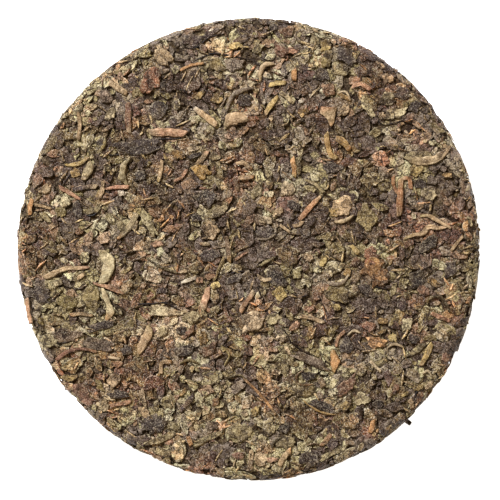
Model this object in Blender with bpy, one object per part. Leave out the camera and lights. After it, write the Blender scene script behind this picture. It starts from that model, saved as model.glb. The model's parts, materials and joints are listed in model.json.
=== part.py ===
"""A round, flat cake of pressed oolong tea: leaves and stems fused on a smaller bumpy core.

Metres, +Z up. The origin is at the middle of the underside, which lies on z = 0.
"""

import math
import random

import bmesh
import bpy
import numpy as np
from mathutils import Matrix, Vector, noise

# Driving dimensions of the cake, which are those of the mould that it is pressed in
CAKE_DIAMETER = 0.110
CAKE_THICKNESS = 0.0140
SHOULDER_RADIUS = 0.0030
MOULD_SEGMENTS = 96

# Mean colour of the dry leaf, and how matt it is
LEAF_COLOUR = (0.160, 0.112, 0.068)
LEAF_ROUGHNESS = 0.85

# How far the round outline strays from a circle: three low lobes
LOBES = 3
LOBE_HEIGHT = 0.0003
LOBE_PEAK = math.radians(301)

# Pressed leaves that cover the cake: least and greatest sizes
LEAF_COUNT = 140
LEAF_LENGTH = (0.0080, 0.0125)
LEAF_WIDTH = (0.0055, 0.0082)
LEAF_DEPTH = (0.0016, 0.0022)
LEAF_SIDES = 6
LEAF_CRUMPLE = 0.0004

# Their form: pointed ends, uneven edge and smaller sunk face as shares of their size, and how
# far they lean as a share of their crumple
LEAF_TAPER = 0.35
LEAF_RAGGED = 0.14
LEAF_SUNK_FACE = 0.6
LEAF_LEAN = 0.6

# The leaf in the middle of the underside, which the mould leaves flat
FOOT_LEAF = (0.0150, 0.0120)

# How far each leaf strays from its even place: share of its step, and turn round the cake
LEAF_SHIFT = 0.3
LEAF_TURN_SHIFT = 0.03

# The core lies this far under the leaves' own surface, and its bumps are of a leaf's size
CORE_DEPTH = 0.0008
CORE_BUMP = 0.0005
CORE_BUMP_SIZE = 0.007
CORE_SEGMENTS = 36

# Rings of the core on the upper half of its section, which the lower half mirrors
FLAT_RINGS = 4
SHOULDER_RINGS = 2
SIDE_RINGS = 1

# Stems that show, on the upper face: middle x and y, length, thickness (mm) and turn (degrees)
UPPER_STEMS = {
    "thick red stem": (-19.7, 27.8, 8.9, 2.1, -2),
    "short tan stem": (-10.7, 31.9, 6.5, 1.2, -36),
    "twig by the rim": (-13.8, 43.8, 6.0, 0.8, 14),
    "red strip": (-28.8, 31.3, 7.6, 1.6, 90),
    "bent left stem": (-43.7, -4.9, 11.3, 1.1, 14),
    "left tan stem": (-33.8, -9.2, 7.8, 1.1, -23),
    "purple stem": (-40.6, 14.7, 9.5, 1.2, 4),
    "upright left stem": (-35.3, 14.3, 4.4, 1.2, 86),
    "pale strip": (-29.0, 5.6, 8.3, 1.3, 46),
    "forked right stem": (36.3, 11.3, 8.2, 1.6, 82),
    "middle stem": (14.4, 10.1, 8.1, 1.2, 46),
    "pink stem": (-10.8, -11.5, 5.4, 1.8, 78),
    "red splinter": (-0.7, -12.0, 5.8, 1.2, 60),
    "ochre stem": (-5.4, 0.2, 6.1, 1.0, -81),
    "long low stem": (2.8, -35.5, 11.7, 1.1, -51),
    "lower right splinter": (29.0, -42.2, 3.4, 1.1, 68),
    "low left stem": (-30.8, -37.0, 5.1, 1.1, 8),
    "olive blade": (42.5, -25.2, 6.2, 1.5, 63),
}

# Leaf flakes that lie on the others, on the upper face: the same five sizes
UPPER_FLAKES = {
    "black leaf": (-27.0, 25.3, 13.0, 3.4, 6),
    "purple leaf": (-11.8, 50.0, 9.5, 3.6, 23),
    "sage flake": (-34.7, -4.6, 6.2, 4.4, 84),
    "pale boat": (-3.3, 30.4, 7.0, 2.6, 33),
    "tan wedge": (18.6, 31.4, 5.2, 4.2, -60),
    "long pale leaf": (42.4, 23.7, 10.6, 2.6, 12),
    "yellow curl": (34.7, 32.7, 6.0, 2.6, 30),
    "cream crumple": (22.4, 9.8, 5.6, 5.0, 40),
    "ochre leaf": (30.0, -6.3, 7.4, 5.4, -20),
    "pale mat": (0.2, -17.6, 5.6, 3.8, 10),
    "tan flake": (30.5, -22.6, 4.8, 3.0, -20),
    "olive leaf": (-24.8, -23.8, 7.4, 3.2, 66),
}

# Stems by rule on the side and the underside, which begin and end at these shares of the area
HIDDEN_STEMS = 16
HIDDEN_SHARES = (0.44, 0.98)
HIDDEN_TURN = 0.7
STEM_LENGTH = (0.0055, 0.0095)
STEM_THICKNESS = (0.0010, 0.0017)

# How all stems lie: the share of the thickness that is sunk before the mould presses them,
# and the most that they bow, as a share of their length
STEM_SUNK = 0.35
STEM_BOW = 0.06
STEM_TAPER = 0.25
STEM_POINTS = 4
CAP_WELD = 0.00001

GOLDEN_ANGLE = math.pi * (3 - math.sqrt(5))
RANDOM_SEED = 22

RADIUS = CAKE_DIAMETER / 2 - LOBE_HEIGHT

# Points of the section for each ring, and the share of area over which a slope is measured
RING_POINTS = 12
NORMAL_REACH = 0.003


def remove_old_objects():
    for old in list(bpy.data.objects):
        bpy.data.objects.remove(old, do_unlink=True)


def make_collection(name):
    collection = bpy.data.collections.new(name)
    bpy.context.scene.collection.children.link(collection)
    return collection


def make_material(name, colour, roughness):
    material = bpy.data.materials.new(name)
    material.use_nodes = True
    shader = material.node_tree.nodes["Principled BSDF"]
    shader.inputs["Base Color"].default_value = (*colour, 1.0)
    shader.inputs["Roughness"].default_value = roughness
    shader.inputs["Metallic"].default_value = 0.0
    return material


def lobe_factor(turn):
    """How much wider or narrower than round the cake is at a turn."""
    return 1 + LOBE_HEIGHT / RADIUS * math.cos(LOBES * (turn - LOBE_PEAK))


def pressed(point, lift):
    """The place on the cake's rounded outer surface that is nearest to a point, moved out by lift."""
    turn = math.atan2(point.y, point.x)
    reach = math.hypot(point.x, point.y) / lobe_factor(turn)
    middle = Vector(
        (
            min(reach, RADIUS - SHOULDER_RADIUS),
            0.0,
            min(max(point.z, SHOULDER_RADIUS), CAKE_THICKNESS - SHOULDER_RADIUS),
        )
    )
    outward = (Vector((reach, 0.0, point.z)) - middle).normalized()
    place = middle + outward * (SHOULDER_RADIUS + lift)
    place.x *= lobe_factor(turn)
    return Matrix.Rotation(turn, 3, "Z") @ place


class CakeSurface:
    """Places on the outer surface, found by the share of its area that lies above them."""

    def __init__(self):
        edge = RADIUS - SHOULDER_RADIUS
        flat = np.linspace(0.0, edge, FLAT_RINGS * RING_POINTS, endpoint=False)
        bend = np.linspace(0.0, math.pi / 2, SHOULDER_RINGS * RING_POINTS, endpoint=False)
        side = np.linspace(SHOULDER_RADIUS, CAKE_THICKNESS / 2, SIDE_RINGS * RING_POINTS + 1)
        radius = np.concatenate([flat, edge + SHOULDER_RADIUS * np.sin(bend), np.full_like(side, RADIUS)])
        depth = np.concatenate([np.zeros_like(flat), SHOULDER_RADIUS * (1 - np.cos(bend)), side])
        self.radius = np.concatenate([radius, radius[-2::-1]])
        self.height = np.concatenate([CAKE_THICKNESS - depth, depth[-2::-1]])
        slant = np.hypot(np.diff(self.radius), np.diff(self.height))
        rings = slant * (self.radius[:-1] + self.radius[1:]) / 2
        self.share = np.concatenate([[0.0], np.cumsum(rings) / rings.sum()])

    def share_at(self, step):
        """The share at a step of 0 to 1 along the section, in which each ring counts alike."""
        return np.interp(step * (len(self.share) - 1), range(len(self.share)), self.share)

    def frame(self, share, turn):
        """A matrix whose Z is the outward normal at that place and whose X runs round the cake."""
        ends = np.clip([share - NORMAL_REACH, share + NORMAL_REACH], 0.0, 1.0)
        run = np.diff(np.interp(ends, self.share, self.radius))[0]
        rise = np.diff(np.interp(ends, self.share, self.height))[0]
        radius = np.interp(share, self.share, self.radius) * lobe_factor(turn)
        normal = Vector((-rise, 0.0, run)).normalized()
        around = Vector((0.0, 1.0, 0.0))
        place = Matrix((around, normal.cross(around), normal)).transposed().to_4x4()
        place.translation = (radius, 0.0, np.interp(share, self.share, self.height))
        return Matrix.Rotation(turn, 4, "Z") @ place


def add_object(name, mesh, collection):
    added = bpy.data.objects.new(name, mesh)
    collection.objects.link(added)
    return added


def mesh_from(name, shape):
    mesh = bpy.data.meshes.new(name)
    shape.to_mesh(mesh)
    shape.free()
    return mesh


def add_core(surface, collection):
    """The body under the leaves: a ball pressed into the cake's form, with leaf-size bumps."""
    ball = bmesh.new()
    rings = 2 * (FLAT_RINGS + SHOULDER_RINGS + SIDE_RINGS)
    bmesh.ops.create_uvsphere(ball, u_segments=CORE_SEGMENTS, v_segments=rings, radius=1.0)
    for vertex in ball.verts:
        x, y, z = vertex.co
        step = math.acos(max(-1.0, min(z, 1.0))) / math.pi
        place = surface.frame(surface.share_at(step), math.atan2(y, x))
        bump = noise.noise(place.translation / CORE_BUMP_SIZE) * CORE_BUMP
        vertex.co = place @ Vector((0.0, 0.0, bump - CORE_DEPTH))
    return add_object("tea_cake", mesh_from("tea_cake", ball), collection)


def leaf_mesh(name, length, width, crumple, rng):
    """A thin wavy leaf: both faces are the same fan of triangles, pointed at the two ends."""
    leaf = bmesh.new()
    bmesh.ops.create_cone(
        leaf,
        cap_ends=True,
        cap_tris=True,
        segments=LEAF_SIDES,
        radius1=LEAF_SUNK_FACE,
        radius2=1.0,
        depth=1.0,
    )
    lean_x, lean_y = (rng.uniform(-LEAF_LEAN, LEAF_LEAN) for _ in range(2))
    for vertex in leaf.verts:
        x, y, z = vertex.co
        taper = 1 - LEAF_TAPER * abs(x) ** 3
        ragged = 1 + rng.uniform(-LEAF_RAGGED, LEAF_RAGGED)
        lift = crumple * (rng.uniform(-1, 1) + lean_x * x + lean_y * y)
        vertex.co.x = x * ragged * length / 2
        vertex.co.y = y * ragged * taper * width / 2
        vertex.co.z = lift if z > 0 else -rng.uniform(*LEAF_DEPTH)
    return mesh_from(name, leaf)


def bend_over(piece, place):
    """Bends a flat piece over the cake, as the mould does to a leaf at the shoulder."""
    for vertex in piece.data.vertices:
        lift = vertex.co.z
        vertex.co = pressed(place @ Vector((vertex.co.x, vertex.co.y, 0.0)), lift)


def add_leaves(surface, collection, rng):
    """Leaves over the whole cake, on a golden-angle spiral with equal areas."""
    for number in range(LEAF_COUNT):
        share = (number + 0.5 + rng.uniform(-LEAF_SHIFT, LEAF_SHIFT)) / LEAF_COUNT
        turn = number * GOLDEN_ANGLE + rng.uniform(-LEAF_TURN_SHIFT, LEAF_TURN_SHIFT)
        place = surface.frame(share, turn)
        mesh = leaf_mesh(
            f"leaf_{number}", rng.uniform(*LEAF_LENGTH), rng.uniform(*LEAF_WIDTH), LEAF_CRUMPLE, rng
        )
        leaf = add_object(mesh.name, mesh, collection)
        bend_over(leaf, place @ Matrix.Rotation(rng.uniform(0, math.tau), 4, "Z"))
    foot = add_object("foot_leaf", leaf_mesh("foot_leaf", *FOOT_LEAF, 0.0, rng), collection)
    foot.matrix_world = surface.frame(1.0, 0.0) @ Matrix.Translation((0, 0, LEAF_CRUMPLE))


def upper_place(x_mm, y_mm, turn_deg, height):
    turn = Matrix.Rotation(math.radians(turn_deg), 4, "Z")
    return Matrix.Translation((x_mm / 1000, y_mm / 1000, height)) @ turn


def add_flakes(collection, rng):
    for name, (x, y, length, width, turn) in UPPER_FLAKES.items():
        mesh = leaf_mesh(name, length / 1000, width / 1000, LEAF_CRUMPLE / 2, rng)
        flake = add_object(name, mesh, collection)
        flake.matrix_world = upper_place(x, y, turn, CAKE_THICKNESS + LEAF_CRUMPLE)


def add_stem(name, place, length, thickness, bow, collection):
    """A bowed, tapering twig with six sides, made a mesh so that it can be joined."""
    curve = bpy.data.curves.new(name, "CURVE")
    curve.dimensions = "3D"
    curve.bevel_depth = thickness / 2
    curve.bevel_resolution = 1
    curve.use_fill_caps = True
    spline = curve.splines.new("POLY")
    spline.points.add(STEM_POINTS - 1)
    for k, point in enumerate(spline.points):
        along = k / (STEM_POINTS - 1) - 0.5
        point.co = (along * length, bow * length * (1 - 4 * along**2), 0.0, 1.0)
        point.radius = 1.0 - STEM_TAPER * (along + 0.5)
    twig = bpy.data.objects.new(name, curve)
    collection.objects.link(twig)
    bpy.context.view_layer.update()
    evaluated = twig.evaluated_get(bpy.context.evaluated_depsgraph_get())
    mesh = bpy.data.meshes.new_from_object(evaluated)
    welded = bmesh.new()
    welded.from_mesh(mesh)
    bmesh.ops.remove_doubles(welded, verts=welded.verts, dist=CAP_WELD)
    welded.to_mesh(mesh)
    welded.free()
    bpy.data.objects.remove(twig)
    stem = add_object(name, mesh, collection)
    stem.matrix_world = place
    return stem


def add_stems(surface, collection, rng):
    for name, (x, y, length, thickness, turn) in UPPER_STEMS.items():
        height = CAKE_THICKNESS + (0.5 - STEM_SUNK) * thickness / 1000
        place = upper_place(x, y, turn, height)
        bow = rng.uniform(-STEM_BOW, STEM_BOW)
        add_stem(name, place, length / 1000, thickness / 1000, bow, collection)
    for number in range(HIDDEN_STEMS):
        share = np.interp((number + 0.5) / HIDDEN_STEMS, (0, 1), HIDDEN_SHARES)
        thickness = rng.uniform(*STEM_THICKNESS)
        place = surface.frame(share, number * GOLDEN_ANGLE + HIDDEN_TURN)
        place = place @ Matrix.Rotation(rng.uniform(0, math.pi), 4, "Z")
        place = place @ Matrix.Translation((0, 0, (0.5 - STEM_SUNK) * thickness))
        bow = rng.uniform(-STEM_BOW, STEM_BOW)
        add_stem(f"hidden_stem_{number}", place, rng.uniform(*STEM_LENGTH), thickness, bow, collection)


def add_mould(collection):
    """The round room inside the mould, which flattens what stands proud of the cake."""
    room = bmesh.new()
    bmesh.ops.create_cone(
        room,
        cap_ends=True,
        segments=MOULD_SEGMENTS,
        radius1=CAKE_DIAMETER / 2,
        radius2=CAKE_DIAMETER / 2,
        depth=CAKE_THICKNESS,
    )
    bmesh.ops.translate(room, vec=(0, 0, CAKE_THICKNESS / 2), verts=room.verts)
    mould = add_object("mould", mesh_from("mould", room), collection)
    mould.hide_render = True
    mould.display_type = "WIRE"
    return mould


def apply_modifiers(target):
    bpy.context.view_layer.update()
    evaluated = target.evaluated_get(bpy.context.evaluated_depsgraph_get())
    mesh = bpy.data.meshes.new_from_object(evaluated)
    target.modifiers.clear()
    target.data = mesh


def keep_largest_body(target):
    """Drops loose scraps, and fills any hollow that the joining has sealed."""
    body = bmesh.new()
    body.from_mesh(target.data)
    unseen, islands = set(body.verts), []
    while unseen:
        island, front = set(), [unseen.pop()]
        while front:
            vertex = front.pop()
            island.add(vertex)
            for edge in vertex.link_edges:
                other = edge.other_vert(vertex)
                if other in unseen:
                    unseen.discard(other)
                    front.append(other)
        islands.append(island)
    islands.sort(key=len)
    for island in islands[:-1]:
        bmesh.ops.delete(body, geom=list(island), context="VERTS")
    body.to_mesh(target.data)
    body.free()


def boolean(target, operation):
    step = target.modifiers.new(operation.lower(), "BOOLEAN")
    step.operation = operation
    step.solver = "MANIFOLD"
    return step


def build_cake():
    remove_old_objects()
    rng = random.Random(RANDOM_SEED)
    surface = CakeSurface()
    cake_parts = make_collection("oolong_tea_cake")
    pieces = make_collection("pressed_pieces")
    cake = add_core(surface, cake_parts)
    add_leaves(surface, pieces, rng)
    add_flakes(pieces, rng)
    add_stems(surface, pieces, rng)

    union = boolean(cake, "UNION")
    union.operand_type = "COLLECTION"
    union.collection = pieces
    moulds = make_collection("moulds")
    boolean(cake, "INTERSECT").object = add_mould(moulds)
    apply_modifiers(cake)
    for piece in list(pieces.objects) + list(moulds.objects):
        bpy.data.objects.remove(piece)

    keep_largest_body(cake)
    cake.data.materials.clear()
    cake.data.materials.append(make_material("pressed_leaf", LEAF_COLOUR, LEAF_ROUGHNESS))
    return cake


build_cake()
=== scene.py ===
import json
import math
import random

import bmesh
import bpy
import numpy as np
from mathutils import Matrix, Vector, noise

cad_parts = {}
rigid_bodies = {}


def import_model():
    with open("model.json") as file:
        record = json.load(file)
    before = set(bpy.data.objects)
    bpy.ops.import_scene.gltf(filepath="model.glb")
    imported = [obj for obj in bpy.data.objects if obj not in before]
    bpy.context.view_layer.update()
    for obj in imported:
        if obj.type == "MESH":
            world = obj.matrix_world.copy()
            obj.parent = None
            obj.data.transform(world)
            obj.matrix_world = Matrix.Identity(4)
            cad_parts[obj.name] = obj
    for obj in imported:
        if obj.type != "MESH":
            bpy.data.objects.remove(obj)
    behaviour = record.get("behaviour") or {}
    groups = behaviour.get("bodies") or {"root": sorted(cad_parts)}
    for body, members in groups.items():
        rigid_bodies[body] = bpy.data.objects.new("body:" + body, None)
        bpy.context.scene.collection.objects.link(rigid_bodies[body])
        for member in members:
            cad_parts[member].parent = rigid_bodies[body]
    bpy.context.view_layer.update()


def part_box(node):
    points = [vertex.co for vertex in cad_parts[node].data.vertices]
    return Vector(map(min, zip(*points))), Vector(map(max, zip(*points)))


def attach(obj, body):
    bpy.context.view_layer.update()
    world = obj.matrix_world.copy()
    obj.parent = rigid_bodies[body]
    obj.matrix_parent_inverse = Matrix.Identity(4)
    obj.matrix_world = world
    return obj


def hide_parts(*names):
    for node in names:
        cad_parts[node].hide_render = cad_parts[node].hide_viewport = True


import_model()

# the cake as the mould leaves it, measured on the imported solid
cadLow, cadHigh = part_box("tea_cake")
leafTips = 0.0003   # the leaves' margins end this far outside the solid's mean outline
cake = {
    "radius": (cadHigh.x - cadLow.x + cadHigh.y - cadLow.y) / 4 + leafTips,
    "thickness": cadHigh.z,
    "shoulder": 0.0030,
    "foot": 0.00025,   # the underside's leaves stand out this far below its own level
    "lobes": 3,
    "lobeHeight": 0.0003,
    "lobePeak": math.radians(301),
    "seed": 11,
}
rng = random.Random(cake["seed"])

# the photo's frame: where the cake's middle lies in it, and how wide the cake is there
photo = {"middleX": 249.75, "middleY": 249.3, "radiusPx": 230.4, "width": 500,
         "cakeRadius": 0.055, "lens": 100.0, "sensor": 36.0}
# the outline is seen where the shoulder starts, a little below the upper face, so the face is seen larger
sidePixel = photo["cakeRadius"] / photo["radiusPx"]
sideAway = photo["width"] * sidePixel * photo["lens"] / photo["sensor"]
metresPerPixel = sidePixel * (sideAway - cake["shoulder"]) / sideAway


def fromPhoto(px, py):
    return (px - photo["middleX"]) * metresPerPixel, (photo["middleY"] - py) * metresPerPixel


def lobeFactor(turn):
    return 1 + cake["lobeHeight"] / cake["radius"] * np.cos(cake["lobes"] * (turn - cake["lobePeak"]))


def makeSection(steps=60):
    # radius, height and outward normal along the rounded section, and the share of area above each place
    edge, bend = cake["radius"] - cake["shoulder"], cake["shoulder"]
    angle = np.linspace(0, math.pi / 2, steps)
    flat = np.linspace(0, edge, steps, endpoint=False)
    r = np.concatenate([flat, edge + bend * np.sin(angle)])
    depth = np.concatenate([flat * 0, bend * (1 - np.cos(angle))])
    across = np.concatenate([flat * 0, np.sin(angle)])
    up = np.concatenate([flat * 0 + 1, np.cos(angle)])
    r, across = np.concatenate([r, r[::-1]]), np.concatenate([across, across[::-1]])
    z = np.concatenate([cake["thickness"] - depth, cake["foot"] + depth[::-1]])
    up = np.concatenate([up, -up[::-1]])
    band = np.hypot(np.diff(r), np.diff(z)) * (r[:-1] + r[1:]) / 2
    return {"r": r, "z": z, "across": across, "up": up,
            "share": np.concatenate([[0], np.cumsum(band) / band.sum()])}


section = makeSection()


def roundTheCake(r, turn, z):
    return np.stack([r * np.cos(turn), r * np.sin(turn), z], axis=-1)


def onSurface(share, turn):
    # places and outward normals, by the share of the surface above them and the turn round the cake
    r, z, across, up = (np.interp(share, section["share"], section[label])
                        for label in ("r", "z", "across", "up"))
    size = np.hypot(across, up)
    return roundTheCake(r * lobeFactor(turn), turn, z), roundTheCake(across, turn, up) / size[..., None]


def nearestOnCake(points):
    # the nearest place on the rounded surface, and its outward normal
    turn = np.arctan2(points[:, 1], points[:, 0])
    reach = np.hypot(points[:, 0], points[:, 1]) / lobeFactor(turn)
    bend = cake["shoulder"]
    innerR = np.minimum(reach, cake["radius"] - bend)
    innerZ = np.clip(points[:, 2], cake["foot"] + bend, cake["thickness"] - bend)
    outR, outZ = reach - innerR, points[:, 2] - innerZ
    size = np.maximum(np.hypot(outR, outZ), 1e-9)
    outR, outZ = outR / size, outZ / size
    r = (innerR + outR * bend) * lobeFactor(turn)
    return roundTheCake(r, turn, innerZ + outZ * bend), roundTheCake(outR, turn, outZ)


def nearestTo(x, y, z):
    foot, normal = nearestOnCake(np.array([[x, y, z]]))
    return foot[0], normal[0]


def linear(colour):
    # an sRGB colour of 0 to 255 as Blender's linear colour
    return tuple(((c / 255 + 0.055) / 1.055) ** 2.4 if c > 10 else c / 3295 for c in colour) + (1.0,)


# nodes: an input takes a plain value, or another node's output
def feed(tree, socket, value):
    if isinstance(value, bpy.types.NodeSocket):
        tree.links.new(value, socket)
    else:
        socket.default_value = value


def node(tree, kind, inputs=None, **settings):
    made = tree.nodes.new(kind)
    for name, value in settings.items():
        setattr(made, name, value)
    for label, value in (inputs or {}).items():
        feed(tree, made.inputs[label], value)
    return made


def attribute(tree, name):
    return node(tree, "ShaderNodeAttribute", attribute_name=name).outputs


def math2(tree, operation, a, b):
    return node(tree, "ShaderNodeMath", {0: a, 1: b}, operation=operation).outputs[0]


def times(tree, a, b):
    return math2(tree, "MULTIPLY", a, b)


def vectorMath(tree, operation, *values):
    made = node(tree, "ShaderNodeVectorMath", dict(enumerate(values)), operation=operation)
    return made.outputs["Value" if operation == "DOT_PRODUCT" else "Vector"]


def mixColour(tree, factor, a, b, blend="MIX"):
    return node(tree, "ShaderNodeMix", {0: factor, 6: a, 7: b}, data_type="RGBA", blend_type=blend).outputs[2]


def mapRange(tree, value, low, high, toLow=0.0, toHigh=1.0):
    inputs = {"Value": value, "From Min": low, "From Max": high, "To Min": toLow, "To Max": toHigh}
    return node(tree, "ShaderNodeMapRange", inputs).outputs["Result"]


def splitColour(tree, colour):
    return node(tree, "ShaderNodeSeparateColor", {0: colour}).outputs


def colourRange(tree, value, band, lowColour, highColour):
    # goes from one colour to another as the value goes through the band
    channels = [mapRange(tree, value, *band, low, high) for low, high in zip(lowColour, highColour)]
    return node(tree, "ShaderNodeCombineColor", dict(enumerate(channels))).outputs[0]


def ownNoise(tree, place, w, size, detail, rough):
    inputs = {"Detail": detail, "Roughness": rough, "Vector": place, "W": w,
              "Scale": math2(tree, "DIVIDE", 1.0, size)}
    return node(tree, "ShaderNodeTexNoise", inputs, noise_dimensions="4D")


def newGroup(name, inputs, outputs):
    group = bpy.data.node_groups.new(name, "ShaderNodeTree")
    for label, default in inputs.items():
        socket = group.interface.new_socket(name=label, in_out="INPUT", socket_type="NodeSocketFloat")
        socket.default_value = default
    for label in outputs:
        group.interface.new_socket(name=label, in_out="OUTPUT", socket_type="NodeSocketFloat")
    return group, group.nodes.new("NodeGroupInput").outputs, group.nodes.new("NodeGroupOutput").inputs


ownSpan = 60.0   # how far apart in the noises the palest and the darkest leaf lie

# a band is where a noise starts and ends to show as a mark, and what it gives at both ends if not 0 and 1
mottleMarks = {
    "fleck": (0.52, 0.60), "pit": (0.48, 0.40), "coarse": (0.30, 0.70), "drift": (0.50, 0.62),
    "relief": (0.34, 0.66), "reliefShare": 0.14,
    "ragged": 0.0016, "raggedSize": 0.5,                      # how far the facets' borders wander (m)
    "leafStep": 0.01, "leafWay": (1.0, 1.7, 0.6),             # each leaf is cut from another place
    "facets": {"Shard": (1.0, 0.75), "Chip": (0.5, 0.55)},    # their size, and how steep they are
    "ownShare": 0.45, "ownStep": 17.0, "patch": (0.38, 0.62, 0.0, 0.55), "patchScale": 100.0,
    # the gap bands set where the painted shade along the facets' borders shows
    "gap": (0.03, 0.12, 1.0, 0.0), "gapPatch": (0.49, 0.55, 1.0, 0.0),
}


def makeMottleGroup():
    # what dries into a leaf's skin: torn facets, flecks and pits, and drifts of warmth; the flecks are partly
    # painted sheen and the pits partly painted shade
    marks = mottleMarks
    inputs = {"Tone": 0.5, "Fine Size": 0.0004, "Coarse Size": 0.0018, "Shard Size": 0.0013}
    outputs = "Fleck Pit Coarse Warm Cool Shard Chip Red Blue Crease Relief"
    group, given, out = newGroup("driedMottle", inputs, outputs.split())
    place = node(group, "ShaderNodeTexCoord").outputs["Object"]
    w = times(group, given["Tone"], ownSpan)
    fine = ownNoise(group, place, w, given["Fine Size"], 2.0, 0.75).outputs["Fac"]
    coarse = ownNoise(group, place, w, given["Coarse Size"], 1.5, 0.5).outputs
    drifts = splitColour(group, coarse["Color"])
    # pale flecks, partly a painted sheen, and dark pits, partly painted shade in tiny hollows
    for label, source, band in (("Fleck", fine, "fleck"), ("Pit", fine, "pit"),
                                ("Coarse", coarse["Fac"], "coarse"),
                                ("Warm", drifts[1], "drift"), ("Cool", drifts[2], "drift")):
        feed(group, out[label], mapRange(group, source, *marks[band]))
    # torn facets at two sizes: cells with ragged borders, each tilted its own way and of its own tone
    ragged = ownNoise(group, place, w, times(group, given["Shard Size"], marks["raggedSize"]), 2.0, 0.6)
    push = vectorMath(group, "MULTIPLY_ADD", ragged.outputs["Color"], (marks["ragged"],) * 3, place)
    away = vectorMath(group, "MULTIPLY_ADD", times(group, w, marks["leafStep"]), marks["leafWay"], push)
    height = times(group, mapRange(group, fine, *marks["relief"]), marks["reliefShare"])
    for label, (size, steep) in marks["facets"].items():
        cellSize = times(group, given["Shard Size"], size)
        scale = math2(group, "DIVIDE", 1.0, cellSize)
        cells = node(group, "ShaderNodeTexVoronoi", {"Vector": away, "Scale": scale}).outputs
        slope = vectorMath(group, "SUBTRACT", cells["Color"], (0.5, 0.5, 0.5))
        reach = vectorMath(group, "SUBTRACT", away, cells["Position"])
        facet = math2(group, "DIVIDE", vectorMath(group, "DOT_PRODUCT", slope, reach), cellSize)
        height = math2(group, "ADD", height, times(group, facet, steep))
        feed(group, out[label], splitColour(group, cells["Color"])[0])
    feed(group, out["Relief"], height)
    # each leaf leans to red or green and to yellow or purple, and so do whole patches of leaves
    ownW = times(group, w, marks["ownStep"])
    own = node(group, "ShaderNodeTexWhiteNoise", {"W": ownW}, noise_dimensions="1D")
    patch = node(group, "ShaderNodeTexNoise", {"Scale": marks["patchScale"], "Detail": 2.0, "Vector": place})
    for channel, label in enumerate(("Red", "Blue")):
        ownPart, patchPart = (splitColour(group, source.outputs["Color"])[channel] for source in (own, patch))
        ownPart = times(group, ownPart, marks["ownShare"])
        feed(group, out[label], math2(group, "ADD", ownPart, mapRange(group, patchPart, *marks["patch"])))
    # painted shade in thin dark gaps along some of the facets' borders
    scale = math2(group, "DIVIDE", 1.0, given["Shard Size"])
    edges = node(group, "ShaderNodeTexVoronoi", {"Vector": away, "Scale": scale}, feature="DISTANCE_TO_EDGE")
    near = mapRange(group, edges.outputs["Distance"], *marks["gap"])
    feed(group, out["Crease"], times(group, near, mapRange(group, coarse["Fac"], *marks["gapPatch"])))
    return group


wrinkles = {"band": (0.28, 0.72), "distortion": 1.2}


def makeWrinkleGroup():
    # long thin wrinkles down a leaf or a stem, 0 to 1, in the piece's own coordinates
    group, given, out = newGroup("longWrinkles", {"Tone": 0.5, "Along": 2.2, "Across": 11.0}, ("Wrinkle",))
    local = node(group, "ShaderNodeSeparateXYZ", {0: attribute(group, "local")["Vector"]}).outputs
    stretched = {0: times(group, local[0], given["Along"]),
                 1: times(group, local[1], given["Across"])}
    place = node(group, "ShaderNodeCombineXYZ", stretched).outputs[0]
    streak = ownNoise(group, place, times(group, given["Tone"], ownSpan), 1.0, 2.0, 0.6)
    feed(group, streak.inputs["Distortion"], wrinkles["distortion"])
    feed(group, out["Wrinkle"], mapRange(group, streak.outputs["Fac"], *wrinkles["band"]))
    return group


# bands along the rim attribute, which is 0 in a leaf's middle and 1 at its very edge; the dark band is
# painted shade
rimBands = {"rise": (0.80, 0.92), "fall": (0.95, 0.99, 1.0, 0.0), "dark": (0.93, 1.0)}
marginPatches = {"band": (0.46, 0.58), "scale": 420.0}


def makeRimGroup():
    # pale margin, partly its own paler colour and partly a painted highlight on the curled edge, and painted
    # shade in the gap beyond it, from how near the margin a place on the leaf is
    group, given, out = newGroup("leafRim", {"Tone": 0.5, "Rim": 0.0}, ("Pale", "Dark"))
    inputs = {"Scale": marginPatches["scale"], "Vector": node(group, "ShaderNodeTexCoord").outputs["Object"],
              "W": times(group, given["Tone"], ownSpan / 2)}
    patches = node(group, "ShaderNodeTexNoise", inputs, noise_dimensions="4D")
    patchy = mapRange(group, patches.outputs["Fac"], *marginPatches["band"])
    rise, fall = (mapRange(group, given["Rim"], *rimBands[label]) for label in ("rise", "fall"))
    # Pale is partly a painted highlight on the curled edge; Dark is painted shade in the gap
    feed(group, out["Pale"], times(group, times(group, rise, fall), patchy))
    feed(group, out["Dark"], mapRange(group, given["Rim"], *rimBands["dark"]))
    return group


groups = {"mottle": makeMottleGroup(), "wrinkle": makeWrinkleGroup(), "rim": makeRimGroup()}
print("node groups made")


def placeGroup(tree, name, values):
    return node(tree, "ShaderNodeGroup", values, node_tree=groups[name]).outputs


def makeRamp(tree, factor, stops):
    ramp = node(tree, "ShaderNodeValToRGB", {"Fac": factor})
    elements = ramp.color_ramp.elements
    while len(elements) < len(stops):
        elements.new(0.5)
    for element, (place, colour) in zip(elements, stops):
        element.position, element.color = place, linear(colour)
    return ramp.outputs["Color"]


# what every leaf shares: sizes of its marks in metres, and how strongly they show
leafCommon = {
    "fine": 0.00028, "coarse": 0.0019, "shard": 0.0017, "along": 2.0, "across": 9.0,
    "coarseShare": 0.12, "wrinkleShare": 0.14, "shardShare": 0.10, "wrinkleDepth": 0.11,
    "shardDark": 0.85, "shardLight": 1.19, "chipDark": 0.80, "chipLight": 1.26,
    "warmColour": (130, 101, 54), "warmShare": 0.20, "coolColour": (82, 62, 58), "coolShare": 0.20,
    # flecks are partly painted sheen; pits, creases and the rim's dark gap colour are painted shade
    "fleckSheenShare": 0.70, "pitShadeColour": (34, 17, 5), "pitShadeShare": 0.80, "creaseShadeShare": 0.85,
    "rimPaleHighlight": 0.7, "gapShadeColour": (31, 16, 5), "rimGapShade": 0.7,
    "rough": 0.5, "roughSpread": 0.1, "specular": 0.22, "bump": 0.0007, "lean": 1.0,
}
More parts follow.
